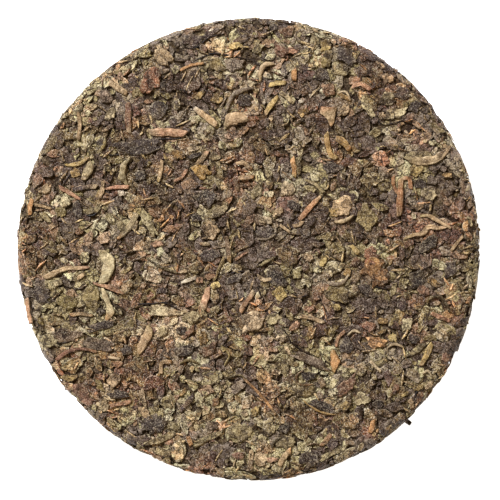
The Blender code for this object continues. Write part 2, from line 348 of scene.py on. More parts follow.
# leans of a leaf's colour: the band of the drift, and the tints at its two ends
leans = {
    "Red": ((0.5, 0.95), (0.94, 1.02, 0.99), (1.38, 0.905, 0.78)),
    "Blue": ((0, 1), (1.02, 1.0, 0.76), (1.0, 1.0, 1.02)),
}
# how a piece that brings its own shade is darkened and lightened
ownShadeStops = ((0.2, (104, 88, 74)), (0.46, (218, 210, 202)), (0.72, (255, 255, 255)))


def leafFinish(name, look):
    # a dried, crumpled leaf: its own shade, drifts of warmth, flecks partly painted as sheen, pits painted as
    # shade, wrinkles, and a pale margin partly painted as a highlight with painted shade in the gap beyond
    look = {**leafCommon, **look}
    material = bpy.data.materials.new(name)
    material.use_nodes = True
    tree = material.node_tree
    tone, rim = (attribute(tree, label)["Fac"] for label in ("tone", "rim"))
    sizes = {"Fine Size": look["fine"], "Coarse Size": look["coarse"], "Shard Size": look["shard"]}
    mottle = placeGroup(tree, "mottle", {"Tone": tone, **sizes})
    wrinkle = placeGroup(tree, "wrinkle", {"Tone": tone, "Along": look["along"], "Across": look["across"]})
    edge = placeGroup(tree, "rim", {"Tone": tone, "Rim": rim})
    amount = times(tree, tone, 1 - look["coarseShare"] - look["wrinkleShare"] - look["shardShare"])
    for part, share in ((mottle["Coarse"], "coarseShare"), (wrinkle["Wrinkle"], "wrinkleShare"),
                        (mottle["Shard"], "shardShare")):
        amount = math2(tree, "ADD", amount, times(tree, part, look[share]))
    colour = makeRamp(tree, amount, look.get("shades", ownShadeStops))
    if "shades" not in look:
        # the piece brings its own shade, and the marks only lighten or darken it
        colour = mixColour(tree, 1.0, attribute(tree, "shade")["Color"], colour, "MULTIPLY")

    def cover(mask, share, shade):
        return mixColour(tree, times(tree, mask, look[share]), colour, linear(look[shade]))

    colour = cover(mottle["Warm"], "warmShare", "warmColour")
    colour = cover(mottle["Cool"], "coolShare", "coolColour")
    # each facet a little lighter or darker than its leaf
    for label in ("Shard", "Chip"):
        dark, light = look[label.lower() + "Dark"], look[label.lower() + "Light"]
        bright = colourRange(tree, mottle[label], (0, 1), (dark,) * 3, (light,) * 3)
        colour = mixColour(tree, 1.0, colour, bright, "MULTIPLY")
    for label, (band, low, high) in leans.items():
        tint = colourRange(tree, mottle[label], band, low, high)
        colour = mixColour(tree, look["lean"], colour, tint, "MULTIPLY")
    # the pale margin, partly a painted highlight; the flecks, partly painted sheen; pits, creases and the
    # rim's dark band, painted shade
    colour = cover(edge["Pale"], "rimPaleHighlight", "rimPaleHighlightColour")
    colour = cover(mottle["Fleck"], "fleckSheenShare", "fleckSheenColour")
    colour = cover(mottle["Pit"], "pitShadeShare", "pitShadeColour")
    colour = cover(mottle["Crease"], "creaseShadeShare", "pitShadeColour")
    colour = cover(edge["Dark"], "rimGapShade", "gapShadeColour")
    height = math2(tree, "ADD", mottle["Relief"], times(tree, wrinkle["Wrinkle"], look["wrinkleDepth"]))
    bump = node(tree, "ShaderNodeBump", {"Strength": 1.0, "Distance": look["bump"], "Height": height})
    roughness = (look["rough"] - look["roughSpread"], look["rough"] + look["roughSpread"])
    results = {"Base Color": colour, "Roughness": mapRange(tree, mottle["Coarse"], 0, 1, *roughness),
               "Specular IOR Level": look["specular"], "Normal": bump.outputs["Normal"]}
    for label, value in results.items():
        feed(tree, tree.nodes["Principled BSDF"].inputs[label], value)
    return material


def storeAttribute(mesh, label, kind, values):
    field = "vector" if kind == "FLOAT_VECTOR" else "value"
    mesh.attributes.new(label, kind, "POINT").data.foreach_set(field, np.array(values).ravel())


def readAttribute(mesh, label, width=1):
    values = np.zeros(len(mesh.vertices) * width, np.float32)
    mesh.attributes[label].data.foreach_get("vector" if width > 1 else "value", values)
    return values.reshape(-1, width) if width > 1 else values


def waves(x, y, z):
    return noise.noise(Vector((x, y, z)))


# leaf, flake and curl shapes, one unit long and wide and deep
sharpAngle = 1.1   # between facets, past which a crease is shown (radians)


def gridMesh(name, places, local, rim, rings, segments):
    # a closed lump of rings round a middle vertex, with a last vertex under it
    faces = [(0, 1 + s, 1 + (s + 1) % segments) for s in range(segments)]
    for ring in range(rings - 1):
        for s in range(segments):
            a, b = 1 + ring * segments + s, 1 + ring * segments + (s + 1) % segments
            faces.append((a, a + segments, b + segments, b))
    last = 1 + (rings - 1) * segments
    faces += [(last + (s + 1) % segments, last + s, len(places) - 1) for s in range(segments)]
    mesh = bpy.data.meshes.new(name)
    mesh.from_pydata(places, [], faces)
    mesh.shade_smooth()
    mesh.set_sharp_from_angle(angle=sharpAngle)
    storeAttribute(mesh, "rim", "FLOAT", rim)
    storeAttribute(mesh, "local", "FLOAT_VECTOR", local)
    return mesh


# how a leaf's outline is torn: ranges to draw from, as shares of its size or as turns
tears = {"waves": (2, 3, 4, 5, 6, 9), "waveSize": (0.4, 1.0), "sides": (4, 7), "sideTurn": 0.3,
         "sideAway": (0.58, 1.0), "leastFacing": 0.35, "longest": 1.3, "leastLeft": 0.4,
         "bites": 3, "biteDepth": (0.3, 1.0), "biteWidth": (0.15, 0.4)}


def outlineRule(form, rng):
    # part ragged waves, part straight torn sides
    rags = [(k, rng.uniform(*tears["waveSize"]) * form["ragged"] / k**0.5, rng.uniform(0, math.tau))
            for k in tears["waves"]]
    count = rng.randint(*tears["sides"])
    start = rng.uniform(0, math.tau)
    sides = [(start + math.tau * (k + rng.uniform(-tears["sideTurn"], tears["sideTurn"])) / count,
              rng.uniform(*tears["sideAway"])) for k in range(count)]
    bites = [(rng.uniform(0, math.tau), rng.uniform(*tears["biteDepth"]) * form["bite"],
              rng.uniform(*tears["biteWidth"])) for k in range(tears["bites"])]

    def radius(turn):
        wavy = 1 + sum(size * math.cos(k * turn + phase) for k, size, phase in rags)
        torn = min(away / max(tears["leastFacing"], math.cos(turn - facing)) for facing, away in sides
                   if math.cos(turn - facing) > 0)
        bitten = 1 - sum(deep * math.exp(-(math.remainder(turn - at, math.tau) / wide) ** 2)
                         for at, deep, wide in bites)
        torn = min(torn, tears["longest"])
        return (wavy * (1 - form["torn"]) + torn * form["torn"]) * max(tears["leastLeft"], bitten)

    return radius


# the shape of a piece of leaf, and how each kind of piece differs from it
leafForm = {"segments": 14, "rings": (0.3, 0.6, 0.85, 0.97, 1.0), "ragged": 0.2, "torn": 0.7, "point": 0.3,
            "bite": 0.3, "jag": 0.14, "fold": 0.45, "ridge": 0.35, "curl": 0.5, "flat": 0.93, "lip": 0.25,
            "bow": 0.15, "underDepth": 1.3, "edgeDrop": 1.1, "lipAt": 0.84, "lipWide": 0.09,
            "foldScale": 2.3, "ridgeScale": 5, "turnSpread": 0.3}
largeForm = {**leafForm, "segments": 18, "rings": (0.3, 0.6, 0.83, 0.96, 1.0), "jag": 0.10, "flat": 0.92}
leafForms = {
    "large": [{**largeForm, "ragged": 0.16, "torn": 0.6, "point": 0.35, "bite": 0.25, "fold": 0.35,
               "ridge": 0.3, "curl": 0.25, "lip": 0.2, "bow": 0.0},
              {**largeForm, "ragged": 0.18, "point": 0.15, "fold": 0.4, "curl": 0.35, "bow": 0.25}],
    "middle": [leafForm,
               {**leafForm, "torn": 0.6, "point": 0.6, "bite": 0.15, "jag": 0.12, "fold": 0.35, "ridge": 0.5,
                "curl": 0.4, "lip": 0.45, "bow": 0.45}],
    "small": [{**leafForm, "segments": 7, "rings": (0.6, 0.88, 1.0), "torn": 0.85, "point": 0.1, "bite": 0.2,
               "jag": 0.24, "fold": 0.3, "ridge": 0.2, "curl": 0.3, "flat": 0.90, "lip": 0.3, "bow": 0.0}],
    "flake": [{**leafForm, "segments": 26, "rings": (0.25, 0.5, 0.72, 0.9, 0.98, 1.0), "torn": 0.75,
               "point": 0.1, "bite": 0.45, "jag": 0.13, "fold": 0.3, "ridge": 0.3, "curl": 0.25, "flat": 0.94,
               "lip": 0.05, "bow": 0.0}],
}


def lumpMesh(name, form, rng):
    # a flattened piece of leaf: torn outline, curled up or down, folded, with a lip along part of its margin
    segments, radii = form["segments"], form["rings"]
    radius = outlineRule(form, rng)
    lipTurn, offset = rng.uniform(0, math.tau), rng.uniform(0, 50)
    curl = rng.uniform(-1, 1) * form["curl"], rng.uniform(-1, 1) * form["curl"]
    spread = form["turnSpread"]
    turns = [math.tau * (s + rng.uniform(-spread, spread)) / segments for s in range(segments)]
    jags = [1 + rng.uniform(-1, 1) * form["jag"] for s in range(segments)]
    places, local, rim = [(0, 0, 0)], [(0, 0, 0)], [0.0]
    for r in radii:
        for turn, jag in zip(turns, jags):
            out = radius(turn) * jag
            x, y = 0.5 * r * out * math.cos(turn), 0.5 * r * out * math.sin(turn)
            y *= 1 - form["point"] * min(1, abs(2 * x)) ** 3
            fold = waves(form["foldScale"] * x, form["foldScale"] * y, offset) * form["fold"]
            ridge = abs(waves(form["ridgeScale"] * x, form["ridgeScale"] * y, offset + 9))
            fold += (0.5 - ridge) * form["ridge"]
            fold += curl[0] * (4 * x * x - 0.3) + curl[1] * (4 * y * y - 0.3)
            drop = max(0.0, (r - form["flat"]) / (1 - form["flat"])) ** 3
            lip = form["lip"] * math.exp(-((r - form["lipAt"]) / form["lipWide"]) ** 2)
            lip *= max(0.0, math.cos(turn - lipTurn))
            y += form["bow"] * (0.25 - x * x)
            places.append((x, y, fold - drop * form["edgeDrop"] + lip))
            local.append((x, y, r))
            rim.append(r)
    # the middle vertex takes the mean height of the ring round it, and the last one lies deep under it
    middleY = form["bow"] * 0.25
    places[0] = (0, middleY, sum(p[2] for p in places[1:segments + 1]) / segments)
    places.append((0, middleY, -form["underDepth"]))
    local.append((0, 0, 1))
    rim.append(1.0)
    return gridMesh(name, places, local, rim, len(radii), segments)


def curlMesh(name, form, rng):
    # a rolled leaf margin along X, bent into an arc, its section rough and fibrous
    sides, steps = form["sides"], form["steps"]
    grainAlong, grainRound = form["grain"]
    offset = rng.uniform(0, 50)
    bend = rng.uniform(*form["bend"]) * rng.choice((-1, 1))
    places, local = [], []
    for k in range(steps + 1):
        along = k / steps - 0.5
        turned = along * bend
        # the arc keeps a length of one from end to end along the curl
        middle = (math.sin(turned) / bend, (math.cos(turned) - 1) / bend + bend / 12)
        thin = 1 - form["taper"] * (2 * abs(along)) ** 2.5
        for s in range(sides):
            turn = math.tau * s / sides
            grain = waves(grainAlong * along, grainRound * math.cos(turn) + offset,
                          grainRound * math.sin(turn))
            half = 0.5 * thin * (1 + form["rough"] * grain)
            out = half * math.cos(turn)
            places.append((middle[0] - out * math.sin(turned), middle[1] + out * math.cos(turned),
                           half * math.sin(turn)))
            local.append((along, turn / math.tau, 0))
    ends = [tuple(sum(p[axis] for p in ring) / sides for axis in range(3))
            for ring in (places[:sides], places[-sides:])]
    places, local = [ends[0], *places, ends[1]], [(-0.5, 0, 0), *local, (0.5, 0, 0)]
    return gridMesh(name, places, local, [0.0] * len(places), steps + 1, sides)


def makeVariants(label, makeMesh, forms, count, rng):
    # a hidden collection of shapes that the tree below picks from, in the order of their names
    shelf = bpy.data.collections.new(label)
    for number in range(count):
        name = f"{label}{number:02d}"
        shelf.objects.link(bpy.data.objects.new(name, makeMesh(name, forms[number % len(forms)], rng)))
    return shelf


crumpleDetail, edgeFall = 1.5, 6.0   # the crumple's finer waves, and how late it ends towards the edge


def makeScatterTree():
    # the tree that lays shapes on the cake
    tree = bpy.data.node_groups.new("layOnCake", "GeometryNodeTree")
    tree.is_modifier = True
    ids = {}
    for name, kind, default in (("Places", "Geometry", None), ("Shapes", "Collection", None),
                                ("Finish", "Material", None), ("Crumple Depth", "Float", 0.0002),
                                ("Crumple Size", "Float", 0.0011), ("Seed", "Float", 0.0)):
        socket = tree.interface.new_socket(name=name, in_out="INPUT", socket_type="NodeSocket" + kind)
        if default is not None:
            socket.default_value = default
        ids[name] = socket.identifier
    tree.interface.new_socket(name="Pieces", in_out="OUTPUT", socket_type="NodeSocketGeometry")
    given, out = node(tree, "NodeGroupInput").outputs, node(tree, "NodeGroupOutput").inputs

    def named(name, kind="FLOAT"):
        made = node(tree, "GeometryNodeInputNamedAttribute", {"Name": name}, data_type=kind)
        return next(o for o in made.outputs if o.enabled and o.name == "Attribute")

    shapes = node(tree, "GeometryNodeCollectionInfo",
                  {"Collection": given["Shapes"], "Separate Children": True, "Reset Children": True})
    turned = node(tree, "FunctionNodeEulerToRotation", {0: named("turn", "FLOAT_VECTOR")})
    laid = {"Points": given["Places"], "Instance": shapes.outputs[0], "Pick Instance": True,
            "Instance Index": named("variant", "INT"), "Rotation": turned.outputs[0],
            "Scale": named("size", "FLOAT_VECTOR")}
    lay = node(tree, "GeometryNodeInstanceOnPoints", laid)
    real = node(tree, "GeometryNodeRealizeInstances", {0: lay.outputs[0]})

    # crumple: each piece is pushed in and out by a noise of its own, least at its edge
    ownW = math2(tree, "ADD", times(tree, named("tone"), ownSpan), given["Seed"])
    place = node(tree, "GeometryNodeInputPosition").outputs[0]
    scale = math2(tree, "DIVIDE", 1.0, given["Crumple Size"])
    crumple = node(tree, "ShaderNodeTexNoise",
                   {"Detail": crumpleDetail, "Vector": place, "W": ownW, "Scale": scale},
                   noise_dimensions="4D")
    inward = math2(tree, "SUBTRACT", 1.0, math2(tree, "POWER", named("rim"), edgeFall))
    push = times(tree, math2(tree, "SUBTRACT", crumple.outputs["Fac"], 0.5), given["Crumple Depth"])
    push = times(tree, push, inward)
    up = named("up", "FLOAT_VECTOR")
    offset = node(tree, "ShaderNodeVectorMath", {0: up, "Scale": push}, operation="SCALE").outputs[0]
    kept = node(tree, "GeometryNodeStoreNamedAttribute",
                {"Name": "crumple", "Geometry": real.outputs[0], "Value": push},
                data_type="FLOAT", domain="POINT").outputs[0]
    moved = node(tree, "GeometryNodeSetPosition", {"Geometry": kept, "Offset": offset}).outputs[0]
    finished = node(tree, "GeometryNodeSetMaterial", {"Geometry": moved, "Material": given["Finish"]})
    feed(tree, out["Pieces"], finished.outputs[0])
    return tree, ids


scatterTree, scatterInputs = makeScatterTree()
press = {"from": -0.00006, "keep": 0.12}   # what stands above this level keeps a small share of its height


def pressIntoMould(mesh):
    # wraps flat pieces over the shoulder, and presses what stands proud almost flat
    co = np.zeros(len(mesh.vertices) * 3, np.float32)
    mesh.vertices.foreach_get("co", co)
    co = co.reshape(-1, 3).astype(float)
    up = readAttribute(mesh, "up", 3)
    base, crumple, freedom, drop = (readAttribute(mesh, label)
                                    for label in ("base", "crumple", "free", "drop"))
    lift = (co * up).sum(1) - base - crumple
    foot, normal = nearestOnCake(co - up * (lift + crumple)[:, None])
    pressed = press["from"] + (lift - press["from"]) * press["keep"]
    lift = np.where(lift > press["from"], pressed * (1 - freedom) + lift * freedom, lift)
    lift = lift + crumple - drop
    co = foot + normal * lift[:, None]
    co[:, 2] = np.maximum(co[:, 2], 0)
    mesh.vertices.foreach_set("co", co.astype(np.float32).ravel())
    mesh.update()


def addPiece(name, mesh):
    piece = bpy.data.objects.new(name, mesh)
    bpy.context.scene.collection.objects.link(piece)
    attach(piece, "root")
    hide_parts("tea_cake")
    print(f"{name}: {sum(len(p.vertices) - 2 for p in mesh.polygons)} triangles")


def layPieces(name, spots, shapes, finish, crumpleDepth, crumpleSize):
    # spots: dictionaries of place, normal, heading, size, variant, tone, tilt and lift, and some also of
    # free, drop or shade
    holderMesh = bpy.data.meshes.new(name + "Places")
    holderMesh.from_pydata([Vector(s["place"]) + Vector(s["normal"]) * s["lift"] for s in spots], [], [])
    turns, bases = [], []
    for spot in spots:
        up, x = Vector(spot["normal"]), Vector(spot["heading"])
        x = (x - up * x.dot(up)).normalized()
        flat = Matrix((x, up.cross(x), up)).transposed()
        tilted = flat @ Matrix.Rotation(spot["tilt"][0], 3, "X") @ Matrix.Rotation(spot["tilt"][1], 3, "Y")
        turns.append(tuple(tilted.to_euler()))
        bases.append(Vector(spot["place"]).dot(up))
    for label, values in (("turn", turns), ("size", [s["size"] for s in spots]),
                          ("up", [tuple(s["normal"]) for s in spots]),
                          ("shade", [s.get("shade", (0.1, 0.1, 0.1)) for s in spots])):
        storeAttribute(holderMesh, label, "FLOAT_VECTOR", values)
    storeAttribute(holderMesh, "base", "FLOAT", bases)
    for label in ("tone", "free", "drop"):
        storeAttribute(holderMesh, label, "FLOAT", [s.get(label, 0.0) for s in spots])
    storeAttribute(holderMesh, "variant", "INT", [s["variant"] for s in spots])
    holder = bpy.data.objects.new(name + "Places", holderMesh)
    bpy.context.scene.collection.objects.link(holder)
    laid = holder.modifiers.new("layOnCake", "NODES")
    laid.node_group = scatterTree
    for label, value in (("Shapes", shapes), ("Finish", finish), ("Crumple Depth", crumpleDepth),
                         ("Crumple Size", crumpleSize)):
        laid[scatterInputs[label]] = value
    bpy.context.view_layer.update()
    mesh = bpy.data.meshes.new_from_object(holder.evaluated_get(bpy.context.evaluated_depsgraph_get()))
    bpy.data.objects.remove(holder)
    pressIntoMould(mesh)
    unused = () if "shade" in spots[0] else ("shade",)
    for label in ("turn", "size", "up", "base", "variant", "free", "crumple", "drop", *unused):
        if label in mesh.attributes:
            mesh.attributes.remove(mesh.attributes[label])
    mesh.name = name
    print(name, "laid:", len(spots))
    addPiece(name, mesh)


# shades as the photo shows them; the paint is darker, since the studio's light is brighter than one
shades = {
    "pink": (184, 142, 112), "rose": (156, 113, 88), "peach": (186, 154, 116), "tan": (170, 144, 110),
    "orange": (178, 132, 86), "ochre": (158, 126, 76), "olive": (122, 104, 62), "yellow": (172, 147, 92),
    "sage": (150, 135, 98), "paleSage": (178, 162, 126), "amber": (150, 107, 62), "gold": (164, 126, 64),
    "cream": (187, 166, 134), "white": (212, 198, 176), "sienna": (168, 120, 84),
    "terracotta": (146, 96, 68), "rust": (136, 100, 72), "redBrown": (114, 78, 60), "brown": (104, 83, 64),
    "slate": (57, 46, 42), "black": (36, 26, 20), "purple": (62, 46, 44), "grey": (120, 103, 88),
    "moss": (109, 93, 50),
}
paintShare = 0.64


def paint(shade, gain):
    return tuple(c * paintShare * gain for c in linear(shades[shade])[:3])


def readTubes(rows):
    # a row has a path and the widths along it, in pixels of the photo, and one shade, or those of the
    # start, the middle and the end
    return [{"path": path, "wide": wide, "shades": (names.split() * 3)[:3]} for path, wide, names in rows]


# stems that can be told apart in the photo, and a few narrow folded leaves
stemMarks = readTubes((
    (((149, 133), (168, 132), (186, 134)), (6.5, 9, 9, 7), "cream pink pink"),
    (((194, 108), (205, 116), (217, 125)), 6, "white peach tan"),
    (((180, 70), (192, 65), (204, 63)), 3, "orange"),
    (((44, 278), (64, 269), (78, 268), (89, 267)), (5.5, 5.5, 4, 3), "tan tan rose"),
    (((77, 279), (84, 274)), 4, "tan"),
    (((93, 283), (108, 287), (124, 294)), (3, 4.5, 5, 3), "rose pink pink"),
    (((102, 288), (107, 300), (110, 312), (106, 320)), (3, 7, 5, 8, 4), "paleSage paleSage orange"),
    (((70, 315), (81, 314), (93, 316)), 3.5, "orange tan tan"),
    (((59, 187), (70, 193), (81, 200)), (4.5, 5, 2.5), "rose"),
    (((73, 190), (86, 187), (97, 187)), 5, "purple purple cream"),
    (((105, 189), (117, 187), (129, 187)), (2.5, 4, 5), "rose"),
    (((103, 181), (102, 190), (99, 199)), (3.5, 5, 2.5), "tan"),
    (((117, 239), (127, 230), (138, 214)), (3, 6, 7, 4), "orange paleSage paleSage"),
    (((129, 102), (128, 118), (129, 133)), (4, 6.5, 6.5, 5), "redBrown redBrown cream"),
    (((65, 165), (78, 164), (89, 157)), (2.5, 4.5, 3), "yellow yellow tan"),
    (((78, 112), (80, 124), (78, 140)), 4, "tan"),
    (((34, 205), (42, 206), (51, 209)), 3, "tan"),
    (((32, 199), (30, 207), (30, 215)), 4.5, "orange"),
    (((27, 298), (28, 310), (31, 324)), 4, "pink"),
    (((56, 360), (69, 351), (84, 349), (97, 352)), (4.5, 4, 3, 3), "redBrown redBrown rust"),
    (((108, 357), (120, 359)), 3, "cream"),
    (((110, 406), (120, 404), (131, 402)), 4, "pink"),
    (((162, 160), (161, 170), (158, 182)), 4, "tan tan yellow"),
    (((207, 151), (203, 158), (197, 164)), 5, "pink tan tan"),
    (((187, 169), (182, 177), (174, 181)), 3, "rose"),
    (((236, 164), (244, 163), (252, 170)), 4.5, "tan tan orange"),
    (((238, 178), (254, 177)), 4.5, "tan tan orange"),
    (((235, 178), (238, 191)), 4, "brown"),
    (((226, 236), (228, 248), (229, 262)), 4.5, "brown brown ochre"),
    (((224, 257), (219, 268), (214, 281)), 2.5, "olive"),
    (((200, 244), (210, 244)), 3.5, "pink cream cream"),
    (((181, 283), (189, 280), (197, 277)), 3.5, "white white grey"),
    (((208, 287), (206, 297), (202, 308)), (4, 7, 8, 6), "pink pink cream"),
    (((180, 272), (187, 271)), 3.5, "cream"),
    (((254, 291), (248, 300), (240, 312)), 5, "cream rust rust"),
    (((235, 260), (247, 252)), 2.5, "rose"),
    (((257, 275), (264, 280), (273, 278)), (2.5, 4.5, 3), "cream"),
    (((292, 158), (294, 168), (294, 177)), 5, "orange orange yellow"),
    (((326, 133), (328, 146), (331, 155), (337, 159)), 5.5, "yellow ochre olive"),
    (((336, 138), (343, 142), (350, 150)), 7, "ochre ochre orange"),
    (((305, 180), (315, 184), (323, 193)), (2, 4, 2.5), "sage"),
    (((321, 196), (311, 206), (299, 220)), (4, 5.5, 4.5), "tan sienna rust"),
    (((293, 226), (299, 225), (303, 221)), 4, "tan"),
    (((280, 225), (290, 232)), 3, "tan"),
    (((351, 245), (359, 254)), 5, "yellow"),
    (((401, 178), (400, 198), (399.5, 216)), (5, 6.5, 7, 6), "tan sienna tan"),
    (((411, 189), (409, 179), (402, 178)), 4.5, "sienna sienna tan"),
    (((393, 176), (394, 186), (399, 195)), 4, "sienna sienna tan"),
    (((406, 156), (420, 161), (436, 159), (451, 146)), (8, 10, 8, 3), "sage cream tan"),
    (((327, 107), (330, 115), (332, 126)), (17, 15, 7, 3), "sienna tan orange"),
    (((224, 127), (233, 119), (247, 117)), (6, 12, 13, 8), "sage tan cream"),
    (((92, 163), (88, 171), (83, 180)), (7, 10, 6), "paleSage paleSage cream"),
    (((102, 250), (108, 262), (107, 273), (101, 284)), (7, 13, 13, 6), "sage paleSage paleSage"),
    (((151, 327), (146, 338), (138, 354)), (8, 10, 9, 5), "sage tan tan"),
    (((404, 239), (414, 235), (423, 233), (429, 227), (438, 228), (447, 227)),
     (2.5, 4, 5, 4, 3), "olive tan tan"),
    (((420, 216), (429, 216), (440, 222), (451, 228)), (2.5, 4, 4, 3), "olive tan tan"),
    (((451, 251), (457, 243), (463, 236)), 3, "tan"),
    (((431, 313), (440, 317), (450, 321)), 4.5, "rose"),
    (((432, 343), (427, 354), (421, 366)), (4, 6, 4), "yellow yellow tan"),
    (((370, 361), (375, 366), (381, 372)), 3, "cream"),
    (((332, 350), (335, 361), (333, 372)), (5, 9, 4), "ochre orange ochre"),
    (((300, 316), (312, 318), (324, 323)), 4.5, "tan tan cream"),
    (((336, 347), (338, 338), (345, 331)), 3.5, "pink"),
    (((182, 339), (188, 333), (194, 328)), 5, "tan rose rose"),
    (((161, 374), (162, 363), (172, 362)), 4.5, "tan tan orange"),
    (((243, 378), (256, 390), (268, 404), (276, 415)), 2.8, "brown orange tan"),
    (((321, 446), (326, 441), (331, 434)), 5, "rust"),
    (((279, 466), (284, 457), (291, 450)), 5.5, "tan tan orange"),
    (((370, 433), (372, 427), (373, 420)), 5, "orange"),
    (((269, 85), (278, 83), (286, 83)), 5, "yellow"),
    (((265, 114), (271, 105), (278, 96)), (4, 6, 3.5), "tan yellow yellow"),
    (((280, 92), (287, 97), (294, 103)), 5, "paleSage"),
    (((294, 69), (294, 81)), 5.5, "orange"),
    (((352, 86), (361, 84), (371, 90)), 5, "pink pink rose"),
    (((109, 82), (118, 88), (127, 94)), 6, "tan"),
    (((180, 411), (187, 403), (194, 395)), (4, 6, 4.5), "purple"),
    (((188, 436), (191, 446)), 4.5, "rust orange orange"),
    (((410, 399), (413, 409)), 5, "tan tan orange"),
))

# rolled leaf margins: thin curved lines
marginMarks = readTubes((
    (((130, 157), (124, 166), (123, 177), (128, 187)), (4, 7.5, 7.5, 3.5), "paleSage"),
    (((99, 152), (104, 145), (105, 136)), 3.5, "olive"),
    (((226, 112), (232, 97), (242, 90), (254, 88)), 5, "grey"),
    (((260, 82), (261, 70), (267, 64), (275, 64)), 5, "olive tan tan"),
    (((257, 239), (267, 239), (276, 234)), 2, "grey"),
    (((303, 370), (297, 375), (297, 382), (302, 385), (315, 384)), 2.4, "orange orange tan"),
    (((347, 336), (353, 331), (361, 333)), 3.2, "grey cream cream"),
    (((228, 378), (238, 375), (247, 379)), 2, "sage"),
    (((303, 400), (310, 406), (321, 412), (336, 415)), 2.2, "ochre"),
    (((322, 277), (331, 284), (342, 283), (350, 273)), (2, 4, 4, 2.5), "grey grey cream"),
    (((221, 345), (229, 355), (224, 366)), 2.5, "olive"),
    (((179, 364), (189, 360), (200, 364)), 3, "olive"),
    (((427, 305), (429, 299), (437, 296), (445, 302), (450, 313)), 3.5, "olive"),
    (((387, 348), (395, 344), (405, 348)), 2.5, "cream"),
    (((422, 374), (428, 371), (432, 377)), 2.5, "cream"),
    (((271, 448), (275, 441), (282, 437)), 3, "sage"),
    (((146, 258), (163, 268), (180, 274)), 3, "olive"),
    (((337, 93), (346, 92), (351, 101)), 2.5, "cream"),
    (((334, 222), (344, 221), (354, 215)), 4, "tan"),
    (((145, 293), (150, 289), (155, 295), (150, 300)), 2.5, "olive"),
))

# painted shade in the cracks between leaves: a near-black tube laid along each
crackWidth = 1.7
crackPaths = (
    ((281, 328), (287, 334), (291, 342), (300, 349), (310, 354), (320, 358)),
    ((193, 61), (210, 54), (219, 54), (232, 56), (254, 60)),
    ((181, 42), (188, 48), (197, 47), (208, 38), (220, 34)), ((226, 276), (235, 272), (245, 271)),
    ((257, 285), (261, 296), (266, 306)), ((377, 120), (386, 125), (405, 121), (420, 129), (430, 127)),
    ((203, 80), (216, 78)), ((45, 343), (62, 343), (72, 340), (79, 329)), ((60, 190), (66, 180), (72, 172)),
    ((73, 223), (79, 216), (94, 215), (103, 204)), ((132, 178), (141, 188), (144, 205), (156, 206)),
    ((128, 153), (112, 155), (106, 153)), ((155, 180), (166, 186), (174, 182)),
    ((183, 197), (182, 210), (188, 213)), ((192, 96), (183, 90), (178, 91)), ((206, 383), (214, 394)),
    ((284, 293), (296, 297), (309, 295)), ((370, 284), (380, 288), (394, 289)),
    ((130, 304), (150, 304), (165, 303), (182, 311)), ((414, 405), (417, 392), (425, 391)),
    ((149, 139), (167, 139), (184, 138)), ((355, 204), (362, 222), (372, 232)),
    ((323, 398), (345, 392), (357, 380)),
)
crackShadeMarks = readTubes((path, crackWidth, "black") for path in crackPaths)

